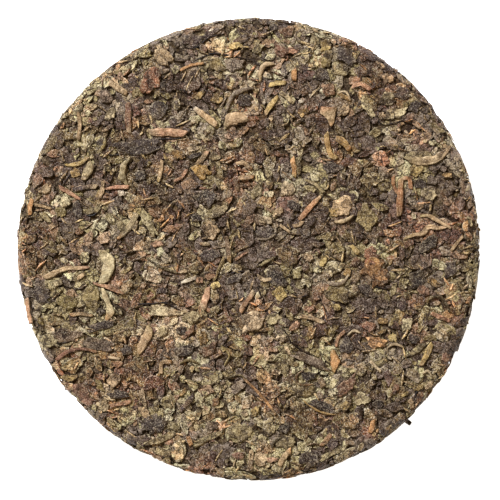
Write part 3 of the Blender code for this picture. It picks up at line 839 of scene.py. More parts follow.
# flakes and leaves: left, top, right and bottom in the photo, the turn of the long side (degrees,
# anticlockwise), and the shade
flakeRows = (
    (339, 103, 350, 118, 60, "tan"), (408, 151, 434, 161, -8, "sage"), (385, 107, 407, 121, 12, "paleSage"),
    (378, 111, 386, 120, 70, "tan"), (409, 161, 423, 178, 90, "yellow"),
    (420, 186, 437, 202, 25, "paleSage"), (410, 203, 425, 211, 12, "tan"),
    (395, 159, 405, 167, 30, "cream"), (280, 180, 295, 199, 70, "cream"), (250, 180, 264, 201, 65, "sage"),
    (254, 186, 262, 200, 55, "paleSage"), (212, 204, 229, 218, 30, "paleSage"),
    (257, 215, 273, 226, -10, "cream"), (272, 205, 285, 219, 40, "tan"), (203, 222, 221, 241, 60, "tan"),
    (190, 163, 213, 179, -15, "gold"), (170, 149, 188, 161, -20, "gold"), (187, 144, 199, 152, 0, "cream"),
    (163, 154, 175, 171, -55, "yellow"), (164, 225, 180, 234, 0, "rust"), (149, 239, 165, 248, 5, "pink"),
    (154, 188, 167, 196, 0, "tan"), (147, 209, 162, 218, -20, "rust"), (139, 209, 158, 238, -60, "sage"),
    (129, 217, 139, 231, 80, "cream"), (208, 152, 221, 161, 0, "sage"), (295, 159, 302, 176, 90, "olive"),
    (283, 160, 291, 172, 90, "grey"), (329, 196, 354, 219, 10, "peach"), (329, 207, 342, 217, 0, "ochre"),
    (355, 202, 375, 230, -70, "olive"), (203, 270, 218, 281, 0, "rust"), (195, 276, 205, 284, 0, "pink"),
    (210, 281, 221, 291, 20, "yellow"), (137, 304, 180, 317, -4, "paleSage"),
    (156, 327, 168, 337, 20, "sage"), (198, 330, 209, 346, 90, "ochre"), (199, 342, 219, 357, 30, "rust"),
    (181, 310, 203, 325, 10, "sage"), (237, 312, 265, 332, 15, "cream"), (262, 312, 282, 326, 20, "sage"),
    (271, 288, 286, 302, 10, "yellow"), (275, 333, 287, 343, 10, "cream"), (255, 256, 276, 268, 30, "sage"),
    (301, 252, 314, 263, 20, "tan"), (318, 253, 328, 267, 70, "yellow"), (322, 285, 357, 305, -15, "olive"),
    (360, 257, 383, 281, 40, "amber"), (361, 248, 380, 266, 10, "terracotta"),
    (350, 256, 360, 269, 50, "rust"), (332, 303, 342, 312, -30, "yellow"),
    (342, 311, 350, 322, -60, "sage"), (303, 305, 315, 313, 10, "rose"), (288, 319, 302, 331, 40, "pink"),
    (284, 345, 292, 357, -60, "tan"), (287, 349, 331, 371, -25, "grey"), (343, 268, 353, 278, 75, "ochre"),
    (361, 320, 376, 333, -30, "redBrown"), (366, 336, 388, 350, -8, "orange"),
    (389, 333, 397, 344, 90, "yellow"), (376, 317, 389, 326, 0, "ochre"),
    (400, 318, 412, 331, -30, "paleSage"), (425, 277, 443, 288, -25, "ochre"),
    (403, 343, 428, 359, 35, "sage"), (422, 334, 437, 342, 15, "olive"),
    (440, 347, 455, 367, 70, "redBrown"), (404, 237, 414, 249, 40, "redBrown"),
    (441, 172, 453, 180, 0, "ochre"), (439, 190, 450, 207, -60, "pink"), (466, 215, 474, 227, -60, "sage"),
    (465, 296, 474, 305, 45, "orange"), (52, 279, 63, 288, 10, "paleSage"), (54, 293, 77, 312, -30, "moss"),
    (48, 326, 80, 344, 10, "brown"), (80, 336, 120, 353, -10, "grey"), (80, 283, 103, 310, -65, "olive"),
    (112, 360, 123, 369, 10, "rust"), (35, 315, 45, 332, -75, "moss"), (113, 218, 134, 232, 10, "sage"),
    (193, 190, 206, 203, 60, "slate"), (69, 166, 81, 179, 0, "ochre"), (59, 196, 71, 207, 20, "paleSage"),
    (54, 206, 68, 219, -30, "moss"), (84, 207, 102, 215, 15, "sage"), (117, 190, 127, 197, -10, "white"),
    (49, 219, 58, 231, 40, "tan"), (39, 183, 51, 196, 40, "tan"), (104, 107, 117, 122, 60, "paleSage"),
    (97, 88, 112, 105, -60, "grey"), (71, 104, 85, 116, 40, "sage"), (138, 66, 164, 96, 65, "terracotta"),
    (143, 99, 154, 104, 10, "pink"), (152, 43, 173, 68, -50, "tan"), (209, 95, 225, 104, 10, "yellow"),
    (194, 90, 206, 100, 40, "yellow"), (225, 41, 243, 50, 10, "yellow"), (223, 30, 229, 40, -60, "orange"),
    (208, 28, 214, 32, 20, "white"), (207, 56, 226, 72, -20, "olive"), (224, 57, 245, 73, 0, "grey"),
    (280, 24, 296, 38, 20, "rust"), (318, 40, 332, 51, 10, "yellow"), (320, 49, 335, 70, 75, "olive"),
    (332, 64, 350, 76, -10, "sage"), (335, 91, 352, 102, -30, "ochre"), (319, 83, 335, 96, -20, "rust"),
    (298, 106, 309, 118, 50, "ochre"), (298, 99, 304, 104, 0, "white"), (360, 96, 376, 120, -60, "sage"),
    (378, 92, 396, 106, -15, "sage"), (380, 72, 396, 85, -20, "tan"), (375, 60, 387, 70, -40, "tan"),
    (250, 42, 264, 56, 40, "sage"), (286, 47, 298, 55, -10, "rose"), (272, 44, 289, 58, -35, "redBrown"),
    (142, 433, 177, 447, 18, "sage"), (150, 446, 172, 460, -20, "sage"), (212, 398, 219, 408, 70, "orange"),
    (178, 389, 188, 396, 40, "ochre"), (178, 398, 188, 405, -10, "paleSage"),
    (229, 378, 248, 395, 40, "grey"), (191, 429, 228, 446, 28, "sage"), (204, 420, 221, 431, 5, "grey"),
    (226, 421, 252, 444, -30, "sage"), (240, 411, 248, 417, 0, "cream"), (139, 388, 147, 409, -80, "cream"),
    (138, 407, 152, 421, -50, "tan"), (247, 448, 255, 475, 85, "tan"), (251, 451, 269, 468, 20, "tan"),
    (249, 405, 260, 419, 60, "yellow"), (275, 436, 299, 450, 10, "sage"), (317, 378, 326, 388, 30, "tan"),
    (337, 376, 357, 398, 42, "redBrown"), (353, 391, 371, 406, 0, "paleSage"),
    (340, 395, 353, 413, 50, "yellow"), (317, 443, 352, 461, 30, "sage"), (266, 457, 279, 463, 0, "pink"),
    (415, 392, 425, 406, 70, "rust"), (425, 380, 435, 391, 50, "tan"), (401, 392, 410, 397, 20, "yellow"),
    (412, 384, 424, 392, 15, "yellow"), (391, 381, 400, 395, 70, "rose"),
    (96, 399, 110, 412, 20, "paleSage"), (105, 416, 116, 426, -40, "sage"), (105, 373, 121, 390, 45, "tan"),
    (95, 380, 104, 392, -60, "moss"), (60, 375, 74, 383, -10, "yellow"), (60, 122, 65, 129, 60, "orange"),
    (429, 110, 437, 121, -60, "moss"), (125, 103, 132, 119, -75, "redBrown"),
    (196, 231, 202, 236, -50, "cream"), (276, 218, 284, 222, 0, "white"), (108, 139, 167, 155, 4, "slate"),
    (180, 32, 203, 49, 10, "purple"), (198, 26, 220, 41, 30, "purple"), (190, 213, 202, 224, 0, "black"),
    (200, 189, 216, 208, 60, "slate"), (187, 152, 202, 160, 20, "slate"), (132, 171, 147, 181, 10, "slate"),
    (320, 160, 342, 174, 5, "slate"), (285, 199, 301, 213, -30, "slate"),
    (305, 212, 316, 226, 80, "purple"), (299, 226, 312, 240, 30, "slate"), (255, 225, 278, 239, 0, "slate"),
    (263, 264, 288, 287, -30, "slate"), (224, 274, 244, 285, 15, "slate"),
    (195, 248, 221, 263, 10, "slate"), (176, 324, 189, 336, 0, "purple"), (175, 341, 198, 357, 20, "slate"),
    (156, 287, 168, 295, 0, "purple"), (359, 283, 376, 301, -40, "slate"),
    (410, 271, 426, 291, 80, "black"), (416, 284, 431, 297, 0, "redBrown"),
    (444, 261, 457, 281, 75, "slate"), (396, 298, 409, 312, 70, "purple"),
    (408, 333, 419, 345, 20, "purple"), (416, 236, 440, 254, 30, "black"),
    (413, 178, 428, 189, 15, "black"), (409, 98, 421, 114, 80, "slate"), (392, 86, 411, 100, -20, "purple"),
    (335, 45, 357, 68, -45, "slate"), (311, 66, 331, 82, -15, "slate"), (269, 22, 279, 33, 0, "slate"),
    (160, 81, 166, 93, 90, "black"), (150, 97, 172, 121, -30, "slate"), (294, 118, 305, 125, 30, "black"),
    (236, 92, 255, 108, 0, "purple"), (70, 200, 84, 219, -75, "slate"), (96, 137, 108, 148, 0, "black"),
    (29, 282, 50, 306, -45, "slate"), (95, 307, 106, 316, 0, "black"), (85, 318, 119, 333, 20, "slate"),
    (119, 343, 133, 357, 0, "slate"), (141, 412, 168, 436, 30, "slate"), (104, 389, 130, 400, 0, "slate"),
    (68, 383, 97, 408, -42, "redBrown"), (232, 450, 247, 460, 0, "redBrown"),
    (297, 450, 320, 470, 10, "slate"), (325, 438, 339, 452, 40, "purple"), (301, 371, 317, 382, 0, "slate"),
    (304, 398, 338, 414, -22, "slate"), (287, 386, 318, 397, 5, "olive"), (279, 423, 291, 435, 20, "black"),
    (372, 399, 385, 410, 0, "slate"), (339, 337, 355, 354, 60, "slate"), (251, 59, 261, 66, -30, "black"),
    (368, 265, 393, 290, -30, "amber"),
)
flakeMarks = [{"box": row[:4], "turn": row[4], "shade": row[5]} for row in flakeRows]

# how much lower scattered pieces lie near the marks, so that they don't cover them
underMarks = {"drop": 0.00022, "reach": 0.36, "stepPx": 3, "tubeShare": 0.5, "flakeShare": 0.42,
              "faceShare": 0.6}


def markSpots():
    # where the pieces above lie: places and radii
    spots = []
    for mark in stemMarks + marginMarks:
        half = float(np.mean(mark["wide"])) * underMarks["tubeShare"] * metresPerPixel
        for (x0, y0), (x1, y1) in zip(mark["path"], mark["path"][1:]):
            steps = max(2, int(math.dist((x0, y0), (x1, y1)) / underMarks["stepPx"]))
            spots += [(*fromPhoto(x0 + (x1 - x0) * k / steps, y0 + (y1 - y0) * k / steps), half)
                      for k in range(steps + 1)]
    for mark in flakeMarks:
        left, top, right, bottom = mark["box"]
        half = min(right - left, bottom - top) * underMarks["flakeShare"] * metresPerPixel
        spots.append((*fromPhoto((left + right) / 2, (top + bottom) / 2), half))
    return np.array(spots)


marked = markSpots()


def dropUnderMarks(place, size):
    if place[2] < cake["thickness"] * underMarks["faceShare"]:
        return 0.0
    away = np.hypot(marked[:, 0] - place[0], marked[:, 1] - place[1])
    return underMarks["drop"] if (away < marked[:, 2] + size * underMarks["reach"]).any() else 0.0


def throwDarts(count, gap, rng, triesEach=14):
    # random places over the surface, none nearer than a gap to another
    places, normals = np.zeros((count, 3)), np.zeros((count, 3))
    found, tries = 0, 0
    while found < count and tries < count * triesEach:
        tries += 1
        share = rng.uniform(0, 1)
        place, normal = onSurface(np.array(share), np.array(rng.uniform(-math.pi, math.pi)))
        if found and ((places[:found] - place) ** 2).sum(1).min() < gap * gap:
            continue
        places[found], normals[found] = place, normal
        found += 1
    return places[:found], normals[:found]


def clump(place, size, shift):
    # slow drift of what kind of leaf lies where
    return noise.noise(Vector(place) / size + Vector((shift, 0, 0)))


# where the cake is paler (above 0) or darker: a place and a reach in pixels of the photo, and how much
zones = (
    (50, 200, 36, 0.15), (76, 237, 32, -0.36), (122, 288, 36, 0.22), (58, 320, 45, 0.12),
    (112, 370, 52, 0.26), (180, 440, 40, 0.1), (240, 425, 45, 0.2), (282, 450, 32, 0.16),
    (262, 322, 38, 0.17), (320, 42, 28, 0.15), (365, 85, 28, -0.19), (280, 142, 34, -0.16),
    (335, 162, 48, -0.18), (205, 200, 32, -0.2), (238, 246, 34, -0.2), (160, 122, 28, -0.16),
    (440, 200, 28, -0.24), (240, 80, 28, -0.1), (392, 288, 34, -0.13), (345, 362, 34, -0.11),
)


def paler(place):
    # how much paler than most the leaves at a place are
    at = photo["middleX"] + place[0] / metresPerPixel, photo["middleY"] - place[1] / metresPerPixel
    return sum(by * math.exp(-(math.dist(at, (x, y)) / reach) ** 2) for x, y, reach, by in zones)


# what each kind of leaf is like: share of the leaves, how it follows the drift, and its shades, with the
# colours of its flecks (partly painted sheen) and pale margin (partly painted highlight)
leafKinds = {
    "slateLeaves": {"weight": 0.25, "drift": 1.0, "rough": 0.45,
                    "shades": ((0.2, (53, 31, 14)), (0.5, (81, 61, 51)), (0.8, (111, 93, 82))),
                    "fleckSheenColour": (142, 127, 116), "rimPaleHighlightColour": (146, 131, 115)},
    "oliveLeaves": {"weight": 0.25, "drift": -0.6,
                    "shades": ((0.2, (77, 54, 21)), (0.5, (115, 94, 60)), (0.8, (150, 130, 97))),
                    "fleckSheenColour": (174, 159, 130), "rimPaleHighlightColour": (181, 166, 138)},
    "brownLeaves": {"weight": 0.22, "drift": 0.3,
                    "shades": ((0.2, (72, 45, 24)), (0.5, (112, 86, 65)), (0.8, (147, 126, 106))),
                    "fleckSheenColour": (170, 156, 140), "rimPaleHighlightColour": (175, 160, 141)},
    "tanLeaves": {"weight": 0.14, "drift": -0.8,
                  "shades": ((0.2, (104, 78, 46)), (0.5, (145, 121, 88)), (0.8, (183, 163, 134))),
                  "fleckSheenColour": (200, 186, 163), "rimPaleHighlightColour": (197, 183, 158)},
    "rustLeaves": {"weight": 0.07, "drift": 0.1, "warmShare": 0.1, "coolShare": 0.2,
                   "shades": ((0.2, (80, 50, 32)), (0.5, (124, 88, 62)), (0.8, (160, 125, 100))),
                   "fleckSheenColour": (182, 160, 140), "rimPaleHighlightColour": (181, 154, 131)},
    "sageLeaves": {"weight": 0.09, "drift": -1.0, "warmShare": 0.15, "coolShare": 0.15,
                   "shades": ((0.2, (109, 89, 48)), (0.5, (151, 132, 93)), (0.8, (188, 172, 140))),
                   "fleckSheenColour": (204, 189, 159), "rimPaleHighlightColour": (204, 190, 162)},
}
# how the kinds and tones drift over the cake: sizes in metres, and strengths
drifts = {"size": 0.009, "shift": 3.0, "drift": 1.6, "paler": 4.4, "follow": 1.6, "kindSize": 0.006,
          "kindShift": (20.0, 9), "kind": 2.8, "toneShift": 8.0, "tone": 1.2}

# the three layers of leaves: how many, how far apart and how large, with lengths in metres
leafLayers = {
    "large": {"count": 500, "gap": 0.0046, "length": (0.0056, 0.0092), "aspect": (0.45, 0.8),
              "depth": (0.0008, 0.0011), "lift": (-0.00042, -0.00016), "tilt": 0.08, "own": 0.8,
              "variants": 24},
    "middle": {"count": 3000, "gap": 0.0020, "length": (0.0030, 0.0058), "aspect": (0.4, 0.8),
               "depth": (0.0007, 0.0009), "lift": (-0.00045, -0.00010), "tilt": 0.10, "own": 0.55,
               "variants": 24},
    "small": {"count": 4300, "gap": 0.0013, "length": (0.0014, 0.0034), "aspect": (0.35, 0.8),
              "depth": (0.0004, 0.0006), "lift": (-0.00036, -0.00006), "tilt": 0.12, "own": 0.35,
              "variants": 16},
}
leafCrumple = {"depth": 0.00014, "size": 0.0016, "tiltShare": 0.6}


def pickKind(place, rng):
    drift = clump(place, drifts["size"], drifts["shift"]) * drifts["drift"] - drifts["paler"] * paler(place)
    first, step = drifts["kindShift"]
    weights = []
    for k, kind in enumerate(leafKinds.values()):
        own = drifts["kind"] * clump(place, drifts["kindSize"], first + step * k)
        weights.append(kind["weight"] * math.exp(drifts["follow"] * drift * kind["drift"] + own))
    return rng.choices(list(leafKinds), weights)[0]


def leafTone(place, spread, rng):
    tone = 0.5 + (rng.random() - 0.5) * spread
    tone += drifts["tone"] * clump(place, drifts["size"], drifts["toneShift"])
    return min(1, max(0, tone + drifts["tone"] * paler(place)))


def scatterLeaves(rng):
    spots = {name: [] for name in leafKinds}
    firstVariant = 0
    for layer in leafLayers.values():
        for place, normal in zip(*throwDarts(layer["count"], layer["gap"], rng)):
            length, turn = rng.uniform(*layer["length"]), rng.uniform(0, math.tau)
            heading = (math.cos(turn), math.sin(turn), rng.uniform(-1, 1))
            kindName = pickKind(place, rng)
            spots[kindName].append({
                "place": place, "normal": normal, "heading": heading,
                "size": (length, length * rng.uniform(*layer["aspect"]), rng.uniform(*layer["depth"])),
                "variant": firstVariant + rng.randrange(layer["variants"]),
                "tone": leafTone(place, layer["own"], rng),
                "tilt": tuple(rng.gauss(0, layer["tilt"]) * leafCrumple["tiltShare"] for axis in range(2)),
                "lift": rng.uniform(*layer["lift"]), "drop": dropUnderMarks(place, length),
            })
        firstVariant += layer["variants"]
    return spots


shapeRng = random.Random(23)
shelves = [makeVariants(label, lumpMesh, leafForms[layerName], leafLayers[layerName]["variants"], shapeRng)
           for label, layerName in (("leafA", "large"), ("leafB", "middle"), ("leafC", "small"))]
leafShapes = shelves[0]
for shelf in shelves[1:]:
    for extra in shelf.objects:
        leafShapes.objects.link(extra)
flakeVariants = 20
flakeShapes = makeVariants("flake", lumpMesh, leafForms["flake"], flakeVariants, shapeRng)
print("leaf shapes made")

leafSpots = scatterLeaves(rng)
for kindName, kind in leafKinds.items():
    layPieces(kindName, leafSpots[kindName], leafShapes, leafFinish(kindName, kind),
              leafCrumple["depth"], leafCrumple["size"])

# rolled margins, scattered between the leaves
curls = {
    "count": 1400, "gap": 0.0014, "length": (0.0016, 0.0040), "width": (0.00035, 0.00070),
    "depth": (0.0004, 0.0006), "lift": (-0.00016, 0.00002), "tilt": (0.2, 0.05), "free": 0.6, "variants": 12,
    "crumpleDepth": 0.0, "crumpleSize": 0.001,
    "forms": [{"sides": 5, "steps": 6, "bend": (0.3, 1.1), "taper": 0.75, "rough": 0.5, "grain": (5, 1.4)},
              {"sides": 5, "steps": 7, "bend": (1.2, 2.8), "taper": 0.8, "rough": 0.5, "grain": (5, 1.4)}],
    "look": {"shades": ((0.2, (78, 54, 32)), (0.5, (130, 100, 70)), (0.8, (194, 160, 118))),
             "fleckSheenColour": (190, 172, 146), "rimPaleHighlightColour": (188, 168, 140), "across": 5.0, "along": 3.0,
             "bump": 0.0003},
}
curlShapes = makeVariants("curl", curlMesh, curls["forms"], curls["variants"], shapeRng)


def scatterCurls(rng):
    spots = []
    for place, normal in zip(*throwDarts(curls["count"], curls["gap"], rng)):
        turn = rng.uniform(0, math.tau)
        if dropUnderMarks(place, curls["length"][0]):
            continue
        spots.append({
            "place": place, "normal": normal, "heading": (math.cos(turn), math.sin(turn), rng.uniform(-1, 1)),
            "size": tuple(rng.uniform(*curls[label]) for label in ("length", "width", "depth")),
            "variant": rng.randrange(curls["variants"]), "tone": rng.random(),
            "tilt": tuple(rng.gauss(0, tilt) for tilt in curls["tilt"]),
            "lift": rng.uniform(*curls["lift"]), "free": curls["free"],
        })
    return spots


layPieces("rolledMargins", scatterCurls(rng), curlShapes, leafFinish("rolledMargins", curls["look"]),
          curls["crumpleDepth"], curls["crumpleSize"])


def smoothPath(points, step):
    # a rounded line through the given points, cut into even steps
    points = [points[0] * 2 - points[1]] + points + [points[-1] * 2 - points[-2]]
    line = []
    for a, b, c, d in zip(points, points[1:], points[2:], points[3:]):
        count = max(2, round((c - b).length / step))
        for k in range(count):
            t = k / count
            square, cube = 2 * a - 5 * b + 4 * c - d, 3 * b - a - 3 * c + d
            line.append(0.5 * (2 * b + (c - a) * t + square * t * t + cube * t ** 3))
    return line + [points[-2]]


def fixOutward(mesh):
    body = bmesh.new()
    body.from_mesh(mesh)
    bmesh.ops.recalc_face_normals(body, faces=body.faces)
    body.to_mesh(mesh)
    body.free()


# tubes for the marked stems, margins and the painted crack shade: what they share
tube = {"seed": 41, "slant": 0.9, "slantPart": 5, "endPart": 0.28, "waver": 0.8, "waverScale": 900,
        "swell": 0.3, "swellScale": 9, "square": 0.6, "rimSpread": 1.04, "grain": (7, 2)}


def tubeMesh(name, marks, look):
    # one mesh of tubes along smooth paths, each with its shades at the start, middle and end
    places, faces, local, tones, tints, rim = [], [], [], [], [], []
    tubeRng = random.Random(tube["seed"])
    grainAlong, grainRound = tube["grain"]
    for mark in marks:
        spine = smoothPath([Vector((*fromPhoto(*point), 0)) for point in mark["path"]], look["step"])
        widths = np.atleast_1d(mark["wide"]) * metresPerPixel / 2
        half = float(widths.mean())
        tone, offset = tubeRng.random(), tubeRng.uniform(0, 50)
        slants = [tubeRng.uniform(-tube["slant"], tube["slant"]) for end in range(2)]
        start, middle, end = (paint(shade, look["gain"]) for shade in mark["shades"])
        first, sides, count = len(places), look["sides"], len(spine)
        for k, point in enumerate(spine):
            along = k / (count - 1)
            toEnd = min(along, 1 - along)
            ahead = (spine[min(k + 1, count - 1)] - spine[max(k - 1, 0)]).normalized()
            across = Vector((-ahead.y, ahead.x, 0))
            thin = min(1, look["blunt"] + toEnd * count * look["step"] / half)
            thin *= 1 - look["taper"] * abs(2 * along - 1) ** 2
            thin *= float(np.interp(along, np.linspace(0, 1, len(widths)), widths)) / half
            waver = waves(point.x * tube["waverScale"], point.y * tube["waverScale"], offset)
            thin *= 1 + look["uneven"] * tube["waver"] * waver
            share = min(1, toEnd / tube["endPart"])
            tint = tuple(e + (m - e) * share for e, m in zip(start if along < 0.5 else end, middle))
            swell = waves(tube["swellScale"] * along, offset, 0) * half * tube["swell"]
            height = cake["thickness"] + look["lift"] - half * look["sunk"] + swell
            foot, normal = nearestTo(point.x, point.y, height)
            lift = (np.array([point.x, point.y, height]) - foot) @ normal
            centre, up = Vector(foot) + Vector(normal) * lift, Vector(normal)
            # broken off slantwise at both ends
            part = tube["slantPart"]
            slant = slants[0] * max(0, 1 - part * along) + slants[1] * max(0, part * along - (part - 1))
            for s in range(sides):
                turn = math.tau * (s + 0.5) / sides
                grain = waves(along * grainAlong, grainRound * math.cos(turn) + offset,
                              grainRound * math.sin(turn))
                rough = 1 + look["uneven"] * grain
                out, rise = (math.copysign(abs(v) ** tube["square"], v)
                             for v in (math.cos(turn), math.sin(turn)))
                places.append(tuple(centre + (across + ahead * slant) * (half * thin * rough * out)
                                    + up * (half * thin * rough * look["flat"] * rise)))
                local.append((along * 2, turn / math.tau, 0))
                # the rim is 1 at the tube's sides, so the pale band there is partly a painted highlight and
                # the dark band painted shade where it meets the leaves
                rim.append(min(1, abs(math.cos(turn)) * tube["rimSpread"]))
            tones += [tone] * sides
            tints += [tint] * sides
        for ring in range(count - 1):
            for s in range(sides):
                a, b = first + ring * sides + s, first + ring * sides + (s + 1) % sides
                faces.append((a, a + sides, b + sides, b))
        faces.append(tuple(first + s for s in range(sides)))
        faces.append(tuple(first + (count - 1) * sides + s for s in reversed(range(sides))))
    mesh = bpy.data.meshes.new(name)
    mesh.from_pydata(places, [], faces)
    mesh.shade_smooth()
    fixOutward(mesh)
    for label, kind, values in (("local", "FLOAT_VECTOR", local), ("shade", "FLOAT_VECTOR", tints),
                                ("tone", "FLOAT", tones), ("rim", "FLOAT", rim)):
        storeAttribute(mesh, label, kind, values)
    return mesh


# gain lightens the shades; the other values are the tubes' shapes and what differs from leafCommon, its
# painted sheen, highlight and shade among them
markLooks = {
    "stems": {"gain": 1.38, "lean": 0.12, "sides": 12, "step": 0.0004, "taper": 0.06, "blunt": 0.8,
              "sunk": 0.06, "lift": 0.0, "uneven": 0.32, "flat": 0.25,
              "fleckSheenColour": (232, 206, 168), "rimPaleHighlightColour": (200, 170, 130), "fleckSheenShare": 0.25,
              "pitShadeShare": 0.3, "creaseShadeShare": 0.1, "warmShare": 0.15, "coolShare": 0.0,
              "wrinkleShare": 0.5, "coarseShare": 0.15, "shardShare": 0.1, "wrinkleDepth": 0.5,
              "along": 1.2, "across": 7.0, "bump": 0.0003},
    "margins": {"gain": 1.2, "lean": 0.15, "sides": 8, "step": 0.00035, "taper": 0.6, "blunt": 0.3,
                "sunk": 0.2, "lift": 0.00008, "uneven": 0.6, "flat": 0.6,
                "fleckSheenColour": (220, 204, 164), "rimPaleHighlightColour": (200, 170, 130), "fleckSheenShare": 0.25,
                "pitShadeShare": 0.3, "creaseShadeShare": 0.1, "warmShare": 0.1, "coolShare": 0.0, "bump": 0.0003},
    # near-black tubes in the cracks: painted shade
    "cracks": {"gain": 0.4, "lean": 0.3, "sides": 6, "step": 0.0004, "taper": 0.6, "blunt": 0.2, "sunk": 0.35,
               "lift": -0.00016, "uneven": 0.5, "flat": 0.7,
               "fleckSheenColour": (50, 42, 36), "rimPaleHighlightColour": (50, 40, 34), "fleckSheenShare": 0.1, "bump": 0.0002},
}
for name, marks in (("stems", stemMarks), ("margins", marginMarks), ("cracks", crackShadeMarks)):
    mesh = tubeMesh(name, marks, markLooks[name])
    mesh.materials.append(leafFinish("marked" + name.capitalize(), markLooks[name]))
    addPiece("marked" + name.capitalize(), mesh)

flakes = {
    "gain": 1.48, "depth": 0.0008, "lift": 0.00013, "liftSpread": 0.0001, "tilt": 0.04, "free": 0.3,
    "smallBelow": 0.003, "smallDepth": 0.6, "grow": 1.06, "narrowest": 0.35,
    "nearDiagonal": 0.3, "diagonalLong": 1.3, "diagonalShort": 0.5,
    "crumpleDepth": 0.00038, "crumpleSize": 0.0011, "seed": 7,
    "look": {"lean": 0.15, "fleckSheenColour": (206, 188, 160), "rimPaleHighlightColour": (206, 186, 152), "fleckSheenShare": 0.35,
             "pitShadeShare": 0.6, "creaseShadeShare": 0.7, "warmShare": 0.15, "coolShare": 0.1, "rimPaleHighlight": 0.2,
             "rimGapShade": 0.2, "wrinkleShare": 0.15, "coarseShare": 0.2, "shardShare": 0.3},
}
# crumbs and broken edges that stand out of the rim
rimColumns = ("at", "height", "size", "tilt", "lift", "shade")
rimRows = (
    ((406, 423), 0.0085, (0.003, 0.0011, 0.0008), -1.25, 0.0006, "slate"),
    ((19, 234), 0.01, (0.0028, 0.002, 0.0007), 0.1, 0.0001, "slate"),
    ((19, 283), 0.0098, (0.0013, 0.001, 0.0006), 0.2, 0.0002, "cream"),
    ((64, 389), 0.0095, (0.0012, 0.0009, 0.0006), -0.3, 0.0003, "black"),
    ((63, 117), 0.0098, (0.002, 0.0014, 0.0006), 0.2, 0.0002, "slate"),
    ((480, 229), 0.0098, (0.0011, 0.0008, 0.0006), 0.4, 0.0003, "tan"),
    ((384, 440), 0.0095, (0.0022, 0.0014, 0.0006), 0.1, 0.0001, "grey"),
)
rimBits = [dict(zip(rimColumns, row)) for row in rimRows]


def ellipseInBox(wide, high, turn):
    # the length and width of a turned ellipse whose box is the one given
    c2, s2 = math.cos(turn) ** 2, math.sin(turn) ** 2
    if abs(c2 - s2) > flakes["nearDiagonal"]:
        length2 = (wide ** 2 * c2 - high ** 2 * s2) / (c2 - s2)
        width2 = (high ** 2 * c2 - wide ** 2 * s2) / (c2 - s2)
    else:
        # near 45 degrees the box says little of the shape, so a plain long one is taken
        length2 = max(wide, high) ** 2 * flakes["diagonalLong"]
        width2 = min(wide, high) ** 2 * flakes["diagonalShort"]
    least = (flakes["narrowest"] * min(wide, high)) ** 2
    longest = math.hypot(wide, high)
    return [min(math.sqrt(max(v, least)), longest) * flakes["grow"] for v in (length2, width2)]


def flakeSpots():
    flakeRng = random.Random(flakes["seed"])
    spots = []
    for mark in flakeMarks:
        left, top, right, bottom = mark["box"]
        foot, normal = nearestTo(*fromPhoto((left + right) / 2, (top + bottom) / 2), cake["thickness"])
        turn = math.radians(mark["turn"])
        wide, high = (right - left) * metresPerPixel, (bottom - top) * metresPerPixel
        small = math.hypot(wide, high) < flakes["smallBelow"]
        depth = flakes["depth"] * (flakes["smallDepth"] if small else 1)
        spots.append({
            "place": foot, "normal": normal, "heading": (math.cos(turn), math.sin(turn), 0),
            "size": (*ellipseInBox(wide, high, turn), depth),
            "variant": flakeRng.randrange(flakeVariants), "tone": flakeRng.random(),
            "tilt": tuple(flakeRng.gauss(0, flakes["tilt"]) for axis in range(2)),
            "lift": flakes["lift"] + flakeRng.uniform(-flakes["liftSpread"], flakes["liftSpread"]),
            "free": flakes["free"], "shade": paint(mark["shade"], flakes["gain"]),
        })
    for bit in rimBits:
        foot, normal = nearestTo(*fromPhoto(*bit["at"]), bit["height"])
        spots.append({
            "place": foot, "normal": normal, "heading": (-normal[1], normal[0], 0), "size": bit["size"],
            "variant": flakeRng.randrange(flakeVariants), "tone": flakeRng.random(),
            "tilt": (0.0, bit["tilt"]), "lift": bit["lift"], "free": 1.0,
            "shade": paint(bit["shade"], flakes["gain"]),
        })
    return spots


layPieces("markedFlakes", flakeSpots(), flakeShapes, leafFinish("markedFlakes", flakes["look"]),
          flakes["crumpleDepth"], flakes["crumpleSize"])

# the crumbly core under the leaves; its dark shades are partly painted shade, so that the gaps between the
# leaves look near-black
core = {
    "depth": 0.0007, "relief": 0.0003, "reliefSize": 0.0016, "subdivisions": 6, "tone": 0.4,
    "look": {"shades": ((0.15, (34, 22, 13)), (0.5, (62, 47, 33)), (0.9, (98, 80, 58))),
             "fleckSheenColour": (120, 104, 82), "rimPaleHighlightColour": (90, 80, 60), "rimPaleHighlight": 0.0, "rough": 0.85},
}


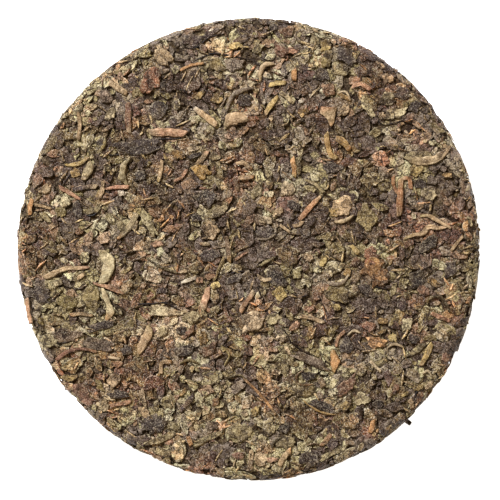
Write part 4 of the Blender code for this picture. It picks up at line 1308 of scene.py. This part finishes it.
def makeCore():
    ball = bmesh.new()
    bmesh.ops.create_icosphere(ball, subdivisions=core["subdivisions"], radius=1.0)
    directions = np.array([v.co for v in ball.verts])
    place, normal = onSurface((1 - directions[:, 2]) / 2, np.arctan2(directions[:, 1], directions[:, 0]))
    for vertex, p, n in zip(ball.verts, place, normal):
        rise = noise.noise(Vector(p) / core["reliefSize"]) * core["relief"]
        vertex.co = Vector(p) + Vector(n) * (rise - core["depth"])
    mesh = bpy.data.meshes.new("core")
    ball.to_mesh(mesh)
    ball.free()
    mesh.shade_smooth()
    storeAttribute(mesh, "rim", "FLOAT", np.zeros(len(mesh.vertices)))
    storeAttribute(mesh, "tone", "FLOAT", np.full(len(mesh.vertices), core["tone"]))
    mesh.materials.append(leafFinish("crumblyCore", core["look"]))
    addPiece("crumblyCore", mesh)


makeCore()

# floor, light and camera
studio = {
    "floorSize": 3.0, "floorColour": (240, 240, 240), "floorRough": 0.9, "floorGlow": 0.95,
    "worldStrength": 0.45, "worldTint": (1.0, 0.83, 0.61),
    "keyPower": 48.3, "keySize": 0.10, "keyTint": (0.955, 1.0, 1.07), "keyPlace": (-0.7, 0.9, 0.95),
}


def makeStudio():
    bpy.ops.mesh.primitive_plane_add(size=studio["floorSize"])
    floor = bpy.context.object
    floor.name = "floor"
    material = bpy.data.materials.new("floorPaint")
    material.use_nodes = True
    # the table is lit from within, as for a cut-out picture
    floorPaint = {"Base Color": linear(studio["floorColour"]), "Roughness": studio["floorRough"],
                  "Emission Color": (1, 1, 1, 1), "Emission Strength": studio["floorGlow"]}
    for label, value in floorPaint.items():
        material.node_tree.nodes["Principled BSDF"].inputs[label].default_value = value
    floor.data.materials.append(material)

    scene = bpy.context.scene
    scene.world = bpy.data.worlds.new("studioWorld")
    scene.world.use_nodes = True
    background = scene.world.node_tree.nodes["Background"]
    background.inputs["Color"].default_value = (*studio["worldTint"], 1)
    background.inputs["Strength"].default_value = studio["worldStrength"]

    lamp = bpy.data.lights.new("key", "AREA")
    lamp.energy, lamp.size, lamp.color = studio["keyPower"], studio["keySize"], studio["keyTint"]
    key = bpy.data.objects.new("key", lamp)
    key.location = studio["keyPlace"]
    key.rotation_euler = (-Vector(studio["keyPlace"])).to_track_quat("-Z", "Y").to_euler()
    scene.collection.objects.link(key)

    lens = bpy.data.cameras.new("camera")
    lens.lens, lens.sensor_width = photo["lens"], photo["sensor"]
    camera = bpy.data.objects.new("camera", lens)
    x, y = fromPhoto(photo["width"] / 2, photo["width"] / 2)
    camera.location = (x, y, cake["thickness"] - cake["shoulder"] + sideAway)
    scene.collection.objects.link(camera)
    scene.camera = camera
    scene.view_settings.view_transform = "Standard"


makeStudio()
print("studio set")
